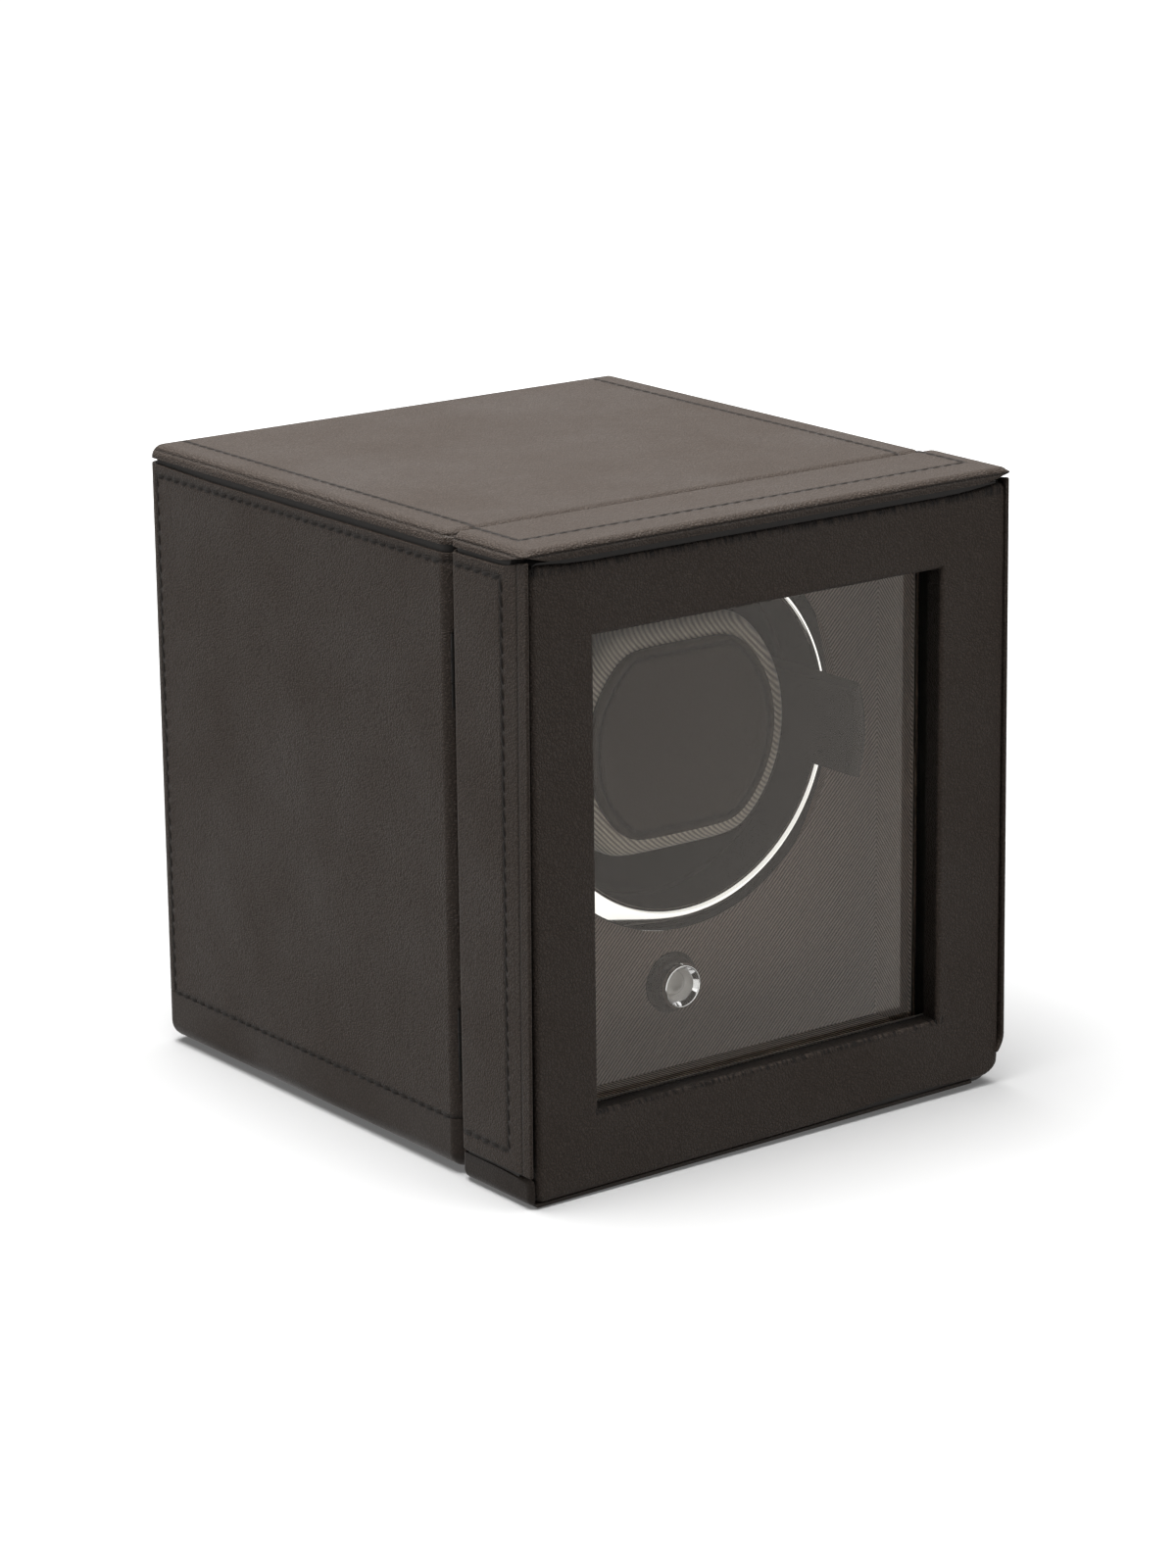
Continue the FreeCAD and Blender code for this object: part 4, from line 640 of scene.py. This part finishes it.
def pressSeam(bm, body):  # flattens the rounds that pass each other beside the hinge
    box, inward = (caseTop, 1) if body == "case" else (doorTop, -1)
    half, plane = box[1].x, box[0 if inward > 0 else 1].y
    spot = coverShape["seamRound"] * (1 - math.sqrt(0.5))  # middle of the round
    for v in bm.verts:
        off = math.hypot(half - abs(v.co.x) - spot, (v.co.y - plane) * inward - spot)
        near = math.exp(-(off / coverShape["pressReach"]) ** 2)
        push = coverShape["press"] * math.sqrt(0.5) * near
        v.co.x -= math.copysign(push, v.co.x)
        v.co.y += push * inward


def cover(name, bm, node, body, material):
    pressSeam(bm, body)
    return makePiece(name, bm, body, material, [node], coverShape["wall"],
                     coverShape["roll"])


def caseTopCover():
    bm = caseBlock()
    splitAt(bm, 2, caseTop[0].z, keep=1)
    return cover("caseTopCover", bm, "case_top_skin", "case", caseTopLeather)


def caseSideCover(name, node, side):
    bm, (backLow, backHigh) = caseBlock(), caseBack
    top = caseSide[1].z - coverShape["groove"]
    splitAt(bm, 2, line["caseLow"], keep=1)
    splitAt(bm, 2, top, keep=-1)
    splitAt(bm, 0, -hair, keep=-1)
    splitAt(bm, 1, coverShape["grooveTaper"])
    for v in bm.verts:
        if abs(v.co.z - top) < slack and v.co.y > coverShape["grooveTaper"] + 1:
            v.co.z += coverShape["groove"]
    splitAt(bm, 0, backLow.x)
    splitAt(bm, 2, backLow.z)
    splitAt(bm, 2, backHigh.z)
    rear = [(f, f.calc_center_median()) for f in facesOn(bm, 1, caseTop[1].y)]
    deleteFaces(bm, [f for f, c in rear if c.x > backLow.x and backLow.z < c.z < backHigh.z])
    if side > 0:
        mirror(bm)
    return cover(name, bm, node, "case", caseSideLeather)


def caseLowCover():
    bm = caseBlock()
    splitAt(bm, 2, line["caseLow"] - hair, keep=-1)
    return cover("caseLowCover", bm, "case_bottom_skin", "case", caseLowShaded)


lidShape = {
    "frontRound": 1.7,
    "pinch": 0.75,          # share of the lip's height lost at a front corner
    "tip": 0.9,             # what is left of it there
    "pinchReach": 5.0,
    "cuts": 8,              # finer mesh inwards from the corners
    "cutStep": 1.5,
}


def doorTopCover():
    shape, (low, high) = lidShape, doorTop
    bm = doorBlock(shape["frontRound"])
    splitAt(bm, 2, low.z, keep=1)
    for i in range(shape["cuts"]):
        step = (i + 1) * shape["cutStep"]
        splitAt(bm, 1, low.y + step)
        for s in (-1, 1):
            splitAt(bm, 0, s * (high.x - step))
    for v in bm.verts:
        away = math.hypot(high.x - abs(v.co.x), v.co.y - low.y) / shape["pinchReach"]
        rise = max(0.0, high.z - shape["tip"] - v.co.z) * shape["pinch"]
        v.co.z += rise * math.exp(-away * away)
    return cover("doorTopCover", bm, "door_top_skin", "door", doorTopLeather)


def doorSideCover(name, node, side):
    shape, front, top = coverShape, doorTop[0].y, doorSide[1].z
    bm = doorBlock()
    splitAt(bm, 2, shape["stripLow"], keep=1)
    splitAt(bm, 2, top, keep=-1)
    splitAt(bm, 0, -hair, keep=-1)
    deleteFaces(bm, facesOn(bm, 1, front))
    for i in range(1, shape["stripCuts"] + 1):
        splitAt(bm, 1, front + i * shape["cutAcross"])
        splitAt(bm, 2, shape["stripLow"] + i * shape["cutUp"])
    for v in bm.verts:
        if v.co.z > top - slack:
            away = (v.co.y - front) / shape["shoulderReach"]
            v.co.z += shape["shoulder"] * math.exp(-away * away)
            v.co.x += shape["shoulderIn"] * math.exp(-away * away)
        turn = 1 - (v.co.z - shape["stripLow"]) / shape["tuckHeight"]
        if side > 0 and turn > 0 and v.co.x < -shape["tuckFrom"]:
            v.co.x += shape["tuck"] * turn * turn
    if side > 0:
        mirror(bm)
    return cover(name, bm, node, "door", doorSideLeather)


wrapShape = {
    "top": 6.7,             # under the strips, behind a dark joint
    "low": 0.5,
    "recess": 0.5,
    "rightRecess": 2.7,
    "rightRound": 5.8,
    "leftRound": 2.2,
    "front": -72.4,
    "endRound": 1.9,
    "topShare": 0.8,        # of the end's round, at the upper front edge
    "topReach": 2.0,
    "ear": 65.2,            # the wrap stands in front of the panel's back outside this width
    "rightEar": 1.2,        # and this far from its right end, where it goes up to the strip
    "earTop": 4.0,
    "panelBack": -67.5,
}


def doorLowWrap():  # leatherette that comes round from below, darkened as painted shade
    shape = wrapShape
    low = Vector((doorTop[0].x + shape["recess"], shape["front"], shape["low"]))
    high = Vector((doorTop[1].x - shape["rightRecess"], doorTop[1].y, shape["top"]))
    bm = roundedBlock(low, high, 0.0, shape["rightRound"], lowLeft=shape["leftRound"])
    for y in (low.y, high.y):
        below = [e for e in edgesOn(bm, 1, y) if not allOn(e, 2, high.z)]
        bevelEdges(bm, below, shape["endRound"], 6)
    topFront = [e for e in edgesOn(bm, 2, high.z)
                if all(v.co.y < low.y + shape["topReach"] for v in e.verts)]
    bevelEdges(bm, topFront, shape["endRound"] * shape["topShare"], 6)
    ear = high.x - shape["rightEar"]
    for x in (-shape["ear"], ear):
        splitAt(bm, 0, x)
    splitAt(bm, 1, shape["panelBack"])
    centres = [(f, f.calc_center_median()) for f in bm.faces]
    deleteFaces(bm, [f for f, c in centres if c.x > -shape["ear"] and (
        c.y < shape["panelBack"] or c.z > shape["earTop"] and c.x < ear)])
    pressSeam(bm, "door")
    return makePiece("doorLowWrap", bm, "door", doorLowShaded,
                     ["door_bottom_skin"], coverShape["wall"], coverShape["roll"])


soleShape = {
    "right": 57.9,
    "low": 0.35,
    "top": 1.2,
    "inset": 0.25,
    "depth": 20.0,
    "round": 0.2,
    "frontRound": 0.15,
    "skew": 1.2,            # its right end is this much higher
}


def doorSole():  # its edge shows as a dark line under the panel
    shape, front = soleShape, span("door_front_skin")[0]
    low = Vector((front.x, front.y + shape["inset"], shape["low"]))
    high = Vector((shape["right"], front.y + shape["depth"], shape["top"]))
    bm = roundedBlock(low, high, shape["round"], shape["round"], shape["frontRound"])
    for v in bm.verts:
        v.co.z += shape["skew"] * (v.co.x - low.x) / (high.x - low.x)
    return makePiece("doorSole", bm, "door", doorLowShaded)


glassLap = 5.0              # mm of glass behind the panel
frontShape = {
    "top": 139.1,           # leaves a dark joint under the lid's lip
    "right": 65.8,
    "windowRight": 47.1,
    "windowTop": 123.1,
    "outerRound": 1.5,
    "windowRound": 0.9,
    "topCorner": 2.4,
    "lowCorner": 5.6,
    "lowLeftCorner": 1.9,   # pulled round towards the hinge side
    "lift": 1.1,            # the lower edge rises to the right and shows the wrap
    "liftAt": 36.0,
    "liftReach": 15.0,
    "liftHeight": 4.0,
    "skew": 1.3,            # and is this much higher at the right end
    "cuts": 7,              # finer mesh on both sides of the lift
    "cutStep": 4.0,
    "leftCuts": (5, 10),
    "rightCuts": (8, 3),
    "topBand": 2.0,
    "cornerRise": 1.1,      # the joint closes towards the corners
    "cornerReach": 9.0,
}


def doorFrontCover():
    shape, pane = frontShape, span("glass_pane")
    low, high = span("door_front_skin")
    high.x, high.z = shape["right"], shape["top"]
    left, right = pane[0].x + glassLap, shape["windowRight"]
    bottom, top = pane[0].z + glassLap, shape["windowTop"]
    bm = roundedBlock(low, high, shape["topCorner"], shape["lowCorner"], shape["outerRound"],
                      lowLeft=shape["lowLeftCorner"])
    for axis, value in ((0, left), (0, right), (2, bottom), (2, top)):
        splitAt(bm, axis, value)

    def inWindow(c, margin=0.0):
        return (left - margin < c.x < right + margin) and (bottom - margin < c.z < top + margin)

    deleteFaces(bm, [f for f in facesOn(bm, 1, low.y) + facesOn(bm, 1, high.y)
                     if inWindow(f.calc_center_median())])
    bmesh.ops.bridge_loops(bm, edges=[e for e in bm.edges if e.is_boundary])
    rim = [e for e in edgesOn(bm, 1, low.y) if all(inWindow(v.co, slack) for v in e.verts)]
    bevelEdges(bm, rim, shape["windowRound"], 5)
    for i in range(-shape["cuts"], shape["cuts"]):
        splitAt(bm, 0, shape["liftAt"] + i * shape["cutStep"])
    for cut in shape["leftCuts"]:
        splitAt(bm, 0, low.x + cut)
    for cut in shape["rightCuts"]:
        splitAt(bm, 0, high.x - cut)
    splitAt(bm, 2, low.z + shape["liftHeight"])
    for v in bm.verts:
        away = (v.co.x - shape["liftAt"]) / shape["liftReach"]
        near = max(0.0, 1 - (v.co.z - low.z) / shape["liftHeight"])
        skew = shape["skew"] * (v.co.x - low.x) / (high.x - low.x)
        v.co.z += near * (shape["lift"] * math.exp(-away * away) + skew)
        if v.co.z > high.z - shape["topBand"]:
            corner = min(v.co.x - low.x, high.x - v.co.x) / shape["cornerReach"]
            v.co.z += shape["cornerRise"] * math.exp(-corner * corner)
    return makePiece("doorFrontCover", bm, "door", panelLeather,
                     ["door_front_skin"])


caseTopCover()
caseSideCover("caseLeftCover", "case_left_skin", -1)
caseSideCover("caseRightCover", "case_right_skin", 1)
caseLowCover()
doorTopCover()
doorSideCover("doorLeftCover", "door_left_skin", -1)
doorSideCover("doorRightCover", "door_right_skin", 1)
doorLowWrap()
doorSole()
doorFrontCover()
print("covers made")


# Stitching: short slanted threads, pulled into the leatherette

threadShape = {
    "pitch": 3.3,
    "length": 3.1,
    "lengthRange": (0.92, 1.05),
    "radius": 0.52,
    "thickShare": 0.8,
    "slant": 11.0,          # degrees off the line
    "slantRange": 5,
    "sunk": 0.20,
}
patchThread = dict(threadShape, pitch=2.3, length=1.75, radius=0.32, slant=4.0, sunk=0.05)


def oneStitch(bm, spot, along, normal, shape):
    turn = math.radians(shape["slant"] + random.uniform(-shape["slantRange"], shape["slantRange"]))
    forward = along * math.cos(turn) + normal.cross(along) * math.sin(turn)
    made = bmesh.ops.create_uvsphere(bm, u_segments=8, v_segments=6, radius=1.0)["verts"]
    reach = shape["length"] / 2 * random.uniform(*shape["lengthRange"])
    breadth, thick = shape["radius"], shape["radius"] * shape["thickShare"]
    cross, spot = normal.cross(forward), spot - normal * shape["sunk"]
    for v in made:
        v.co = spot + forward * v.co.z * reach + cross * v.co.x * breadth + normal * v.co.y * thick


def stitchRun(bm, start, end, normal, shape=threadShape):
    start, end, normal = Vector(start), Vector(end), Vector(normal)
    run = end - start
    count = max(1, round(run.length / shape["pitch"]))
    for i in range(count):
        oneStitch(bm, start + run * ((i + 0.5) / count), run.normalized(), normal, shape)


def stitchBox(bm, s, wall, start, turn, top, low):  # three sides of a box on a side wall
    corners = [(wall, start, top), (wall, turn, top), (wall, turn, low), (wall, start, low)]
    for a, b in zip(corners, corners[1:]):
        stitchRun(bm, a, b, (s, 0, 0))


def caseStitching():
    bm, (low, high) = bmesh.new(), caseTop
    for s in (-1, 1):
        x, (seamEnd, rearEnd) = s * caseReach, line["topEnds"]
        stitchRun(bm, (x, low.y + seamEnd, high.z), (x, high.y - rearEnd, high.z), (0, 0, 1))
        stitchBox(bm, s, s * high.x, line["caseStart"], line["caseRear"], line["caseTop"],
                  line["caseLow"])
    return makePiece("caseStitching", bm, "case", threadDark)


def doorStitching():
    bm, high, front = bmesh.new(), doorTop[1], line["doorFront"]
    for s in (-1, 1):
        x = s * doorReach
        stitchRun(bm, (x, line["doorEnd"], high.z), (x, front, high.z), (0, 0, 1))
        stitchBox(bm, s, s * high.x, line["stripEnd"], line["stripFront"], line["stripTop"],
                  line["stripLow"])
    stitchRun(bm, (-doorReach, front, high.z), (doorReach, front, high.z), (0, 0, 1))
    return makePiece("doorStitching", bm, "door", threadDark)


patchShape = {
    "edge": 0.7,
    "outlineSteps": 720,
    "corner": 24.0,         # the higher, the sharper the outline's corners
}


def discReach(rise, radius, flat):  # radius of a disc with two flats; rise: sine of the angle
    bend = patchShape["corner"]
    return (radius ** -bend + (flat / max(1e-6, abs(rise))) ** -bend) ** (-1 / bend)


def patchStitching():  # follows the patch's outline: two arcs and two flats
    bm, outline, steps = bmesh.new(), [], patchShape["outlineSteps"]
    for i in range(steps):
        a = math.tau * i / steps
        reach = discReach(math.sin(a), patchRound, patchFlat)
        outline.append(Vector((reach * math.cos(a), patchLow.y, drumZ + reach * math.sin(a))))
    walked, spots = 0.0, []
    for a, b in zip(outline, outline[1:] + outline[:1]):
        walked += (b - a).length
        if walked >= patchThread["pitch"]:
            walked -= patchThread["pitch"]
            spots.append((b, (b - a).normalized()))
    for spot, along in spots:
        oneStitch(bm, spot, along, Vector((0, -1, 0)), patchThread)
    return makePiece("patchStitching", bm, "cuff", patchYarn)


random.seed(7)
caseStitching()
doorStitching()
patchStitching()
print("stitching done")


# Cuff: the twill cushion and the patch on it

cushionShape = {
    "radius": 31.0,
    "flat": 26.0,
    "edge": 4.0,
    "segments": 160,
}


def slicedDisc(radius, flat, front, rear):  # a disc cut flat above and below
    bm = bmesh.new()
    bmesh.ops.create_circle(bm, cap_ends=True, segments=cushionShape["segments"], radius=1.0)
    bmesh.ops.rotate(bm, matrix=Matrix.Rotation(math.radians(-90), 3, "X"), verts=bm.verts[:])
    for v in bm.verts:
        v.co *= discReach(v.co.z, radius, flat)
    bmesh.ops.translate(bm, vec=(0, front, drumZ), verts=bm.verts[:])
    made = bmesh.ops.extrude_face_region(bm, geom=bm.faces[:])["geom"]
    bmesh.ops.translate(bm, vec=(0, rear - front, 0),
                        verts=[v for v in made if isinstance(v, bmesh.types.BMVert)])
    return bm


def cuffCushion():
    shape, (low, high) = cushionShape, span("cuff_cushion")
    bm = slicedDisc(shape["radius"], shape["flat"], low.y, high.y)
    bevelEdges(bm, edgesOn(bm, 1, low.y), shape["edge"], 8)
    bevelEdges(bm, edgesOn(bm, 1, high.y), shape["edge"] / 2, 4)
    piece = makePiece("cuffCushion", bm, "cuff", twillCushion, ["cuff_cushion"])
    return piece


def cuffPatch():
    bm = slicedDisc(patchHigh.x, patchHigh.z - drumZ, patchLow.y, patchHigh.y)
    bevelEdges(bm, edgesOn(bm, 1, patchLow.y), patchShape["edge"], 4)
    return makePiece("cuffPatch", bm, "cuff", patchLeather, ["cuff_patch"])


paneEdge = {
    "rise": 0.35,
    "thick": 0.3,
}


def glassEdge():  # painted highlight: a thin light strip along the glass's lower edge, above the rail
    (low, high), rise, thick = span("glass_pane"), paneEdge["rise"], paneEdge["thick"]
    half, bottom = high.x - glassLap, low.z + glassLap
    bm = bmesh.new()
    addBox(bm, Vector((-half, low.y + thick / 2, bottom)),
           Vector((half, low.y + thick * 1.5, bottom + rise)))
    return makePiece("glassEdge", bm, "door", edgeHighlight, flat=True)


glassEdge()
cuffCushion()
cuffPatch()
print("cuff made")


# Bright ring round the drum, lamp bezel and lens

def spunRing(name, profile, x, z, body, material, standsFor):
    bm = bmesh.new()  # profile: radius and depth of each point, a closed outline
    verts = [bm.verts.new((x + r, y, z)) for r, y in profile]
    for a, b in zip(verts, verts[1:] + verts[:1]):
        bm.edges.new((a, b))
    bmesh.ops.spin(bm, geom=bm.verts[:] + bm.edges[:], cent=(x, 0, z), axis=(0, 1, 0),
                   angle=math.tau, steps=180, use_merge=True)
    return makePiece(name, bm, body, material, standsFor)


def quarter(steps):  # angles of a quarter turn, without the first
    return [math.pi / 2 * i / steps for i in range(1, steps + 1)]


ringShape = {
    "inner": 38.7,
    "outer": 44.1,
    "proud": 2.8,
    "lip": 1.9,
    "crest": 40.1,
    "flankSteps": 12,
    "flankBend": 1.2,
    "edge": 1.95,           # height of its outer edge
    "edgeRound": (0.3, 0.35),
    "sleeve": 9.8,
    "wall": 1.4,
    "blackFrom": 0.1,       # behind the lip
}


def bezelRing():
    shape, face = ringShape, span("fascia_panel")[0].y
    inner, crest, outer = shape["inner"], shape["crest"], shape["outer"]
    rear, lip, wall = face + shape["sleeve"], face - shape["lip"], inner + shape["wall"]
    easeIn, easeUp = shape["edgeRound"]
    outline = [(inner, rear), (inner, lip)]
    for a in quarter(8):  # rounded inner edge up to the crest
        outline.append((crest - (crest - inner) * math.cos(a),
                        lip - (shape["proud"] - shape["lip"]) * math.sin(a)))
    for i in range(1, shape["flankSteps"] + 1):  # gently domed flank down to the fascia
        t = i / shape["flankSteps"]
        drop = (shape["proud"] - shape["edge"]) * t ** shape["flankBend"]
        outline.append((crest + (outer - easeIn - crest) * t, face - shape["proud"] + drop))
    outline += [(outer, face - shape["edge"] + easeUp), (outer, face), (wall, face), (wall, rear)]
    ring = spunRing("bezelRing", outline, 0, drumZ, "case", ringChrome, ["bezel_ring"])
    ring.data.materials.append(glossBlack)
    for polygon in ring.data.polygons:  # the sleeve behind the rim is blackened
        x, y, z = polygon.center / mm
        onSleeve = math.hypot(x, z - drumZ) < inner + shape["wall"] / 2
        polygon.material_index = int(onSleeve and y > lip + shape["blackFrom"])
    return ring


lampShape = {
    "flange": 7.0,
    "flangeHigh": 0.4,
    "skirt": 6.3,
    "skirtHigh": 0.75,
    "skirtBend": 1.4,
    "rim": 5.0,
    "rimRound": 0.12,
    "rimHigh": 0.4,
    "darkFrom": 0.15,       # outside the rim
    "lip": 0.5,
    "lipRound": 0.14,
    "proud": 4.5,
    "cup": 3.2,
    "cupDepth": 1.0,        # bottom of the inner cone in front of the fascia
    "seat": 0.6,
    "dome": 2.9,
    "domeLift": 0.2,
    "domeRear": 0.4,
    "axis": 0.001,          # radius of the points on the axis
}


def lampBezel():
    shape, face = lampShape, span("fascia_panel")[0].y
    low, high = span("led_bezel")
    x, z = (low.x + high.x) / 2, (low.z + high.z) / 2
    tip, start = face - shape["proud"], face - shape["skirtHigh"]
    rim, skirt, seat = shape["rim"], shape["skirt"], shape["cup"] - shape["seat"]
    rise = shape["proud"] - shape["skirtHigh"] - shape["rimHigh"]
    outline = [(shape["flange"], face), (shape["flange"], face - shape["flangeHigh"]),
               (skirt, start)]
    for a in quarter(6):
        reach = skirt - (skirt - rim) * math.sin(a) ** shape["skirtBend"]
        outline.append((reach, start - rise * math.sin(a)))
    outline += [(rim - shape["rimRound"], tip + shape["rimRound"]), (rim - shape["lip"] / 2, tip),
                (rim - shape["lip"], tip + shape["lipRound"]),
                (shape["cup"], face - shape["cupDepth"]), (seat, face - shape["domeLift"]),
                (seat, face)]
    bezel = spunRing("lampBezel", outline, x, z, "case", chrome, ["led_bezel"])
    bezel.data.materials.append(darkReflectChrome)
    for polygon in bezel.data.polygons:  # painted reflection: the flange and the skirt get the dark metal, standing for the dark room they reflect
        across, _, up = polygon.center / mm
        polygon.material_index = int(math.hypot(across - x, up - z) > rim + shape["darkFrom"])
    radius, middle, rear = shape["dome"], face - shape["domeLift"], face + shape["domeRear"]
    dome = [(shape["axis"], middle - radius)]
    dome += [(radius * math.sin(a), middle - radius * math.cos(a)) for a in quarter(8)]
    dome += [(radius, rear), (shape["axis"], rear)]
    return spunRing("lampDome", dome, x, z, "case", milkyLens, ["led_lamp"])


bezelRing()
lampBezel()
print("ring made")


# Stage, light and camera

floorPaper = {
    "size": 6.0,
    "colour": (0.16, 0.16, 0.16, 1),
    "seenColour": (0.35, 0.35, 0.35, 1),
    "nearGlow": 0.12,       # lifts the paper to white; the shadow stays
    "farGlow": 1.0,
    "fadeFrom": 0.13,       # m from the middle
    "fadeTo": 0.75,
}


def mirrorRays(path):
    tree = path.id_data
    return maths(tree, "MAXIMUM", path.outputs["Is Glossy Ray"],
                 path.outputs["Is Transmission Ray"])


def stageFloor(look=floorPaper):
    bm = bmesh.new()
    bmesh.ops.create_grid(bm, x_segments=2, y_segments=2, size=look["size"])
    mesh = bpy.data.meshes.new("floor")
    bm.to_mesh(mesh)
    bm.free()
    floor = bpy.data.objects.new("floor", mesh)
    bpy.context.scene.collection.objects.link(floor)
    material, tree, shader = newMaterial("floorPaper", Roughness=0.9, Specular_IOR_Level=0.0,
                                         Emission_Color=(1, 1, 1, 1))
    path = addNode(tree, "LightPath")
    isSeen = path.outputs["Is Camera Ray"]
    away = vectors(tree, "LENGTH", placeOn(tree), output="Value")
    glow = mapped(tree, away, look["fadeFrom"], look["fadeTo"], look["nearGlow"],
                  look["farGlow"], smooth=True)
    glow = maths(tree, "MAXIMUM", maths(tree, "MULTIPLY", isSeen, glow), mirrorRays(path))
    tree.links.new(glow, shader.inputs["Emission Strength"])
    tree.links.new(blendColours(tree, isSeen, look["colour"], look["seenColour"]),
                   shader.inputs["Base Color"])
    mesh.materials.append(material)


softLamps = {               # place and target in m, width in m, watts
    "overhead": ((-0.16, 0.08, 1.3), (0, 0, 0.08), 1.1, 57.0),
    "leftSide": ((-1.25, 0.15, 0.30), (0, 0, 0.03), 0.8, 1.7),
    "frontHigh": ((0.25, -0.50, 1.1), (0, 0, 0.06), 0.5, 6.2),
}


def softLamp(name, place, target, size, watts):
    data = bpy.data.lights.new(name, "AREA")
    data.shape, data.size, data.energy = "DISK", size, watts
    lamp = bpy.data.objects.new(name, data)
    lamp.location = place
    lamp.rotation_euler = (Vector(target) - Vector(place)).to_track_quat("-Z", "Y").to_euler()
    bpy.context.scene.collection.objects.link(lamp)


roomLevel = 0.12            # light from all round; the room still looks white


def whiteRoom():
    world = bpy.data.worlds.new("room")
    bpy.context.scene.world = world
    world.use_nodes = True
    tree = world.node_tree
    tree.nodes.clear()
    path = addNode(tree, "LightPath")
    seen = maths(tree, "MAXIMUM", path.outputs["Is Camera Ray"], mirrorRays(path))
    strength = maths(tree, "ADD", maths(tree, "MULTIPLY", seen, 1.0 - roomLevel), roomLevel)
    sky = addNode(tree, "Background", {"Color": (1, 1, 1, 1), "Strength": strength})
    out = addNode(tree, "OutputWorld")
    tree.links.new(sky.outputs[0], out.inputs["Surface"])


cameraView = {
    "place": (-0.62285, -0.83846, 0.36233),
    "aim": (0.58159, 0.76434, -0.27844),
    "roll": -0.00803,
    "lens": 109.39,
    "shift": (-0.0252, 0.0187),
    "clip": (0.05, 30.0),
}


def photoCamera(view=cameraView):
    data = bpy.data.cameras.new("photoCamera")
    data.lens, data.sensor_width, data.sensor_fit = view["lens"], 36.0, "AUTO"
    data.shift_x, data.shift_y = view["shift"]
    data.clip_start, data.clip_end = view["clip"]
    camera = bpy.data.objects.new("photoCamera", data)
    camera.location = view["place"]
    level = Vector(view["aim"]).to_track_quat("-Z", "Y")
    camera.rotation_euler = (level @ Quaternion((0, 0, 1), view["roll"])).to_euler()
    bpy.context.scene.collection.objects.link(camera)
    bpy.context.scene.camera = camera


stageFloor()
whiteRoom()
for name, settings in softLamps.items():
    softLamp(name, *settings)
photoCamera()
bpy.context.scene.view_settings.view_transform = "Standard"
print("scene done")
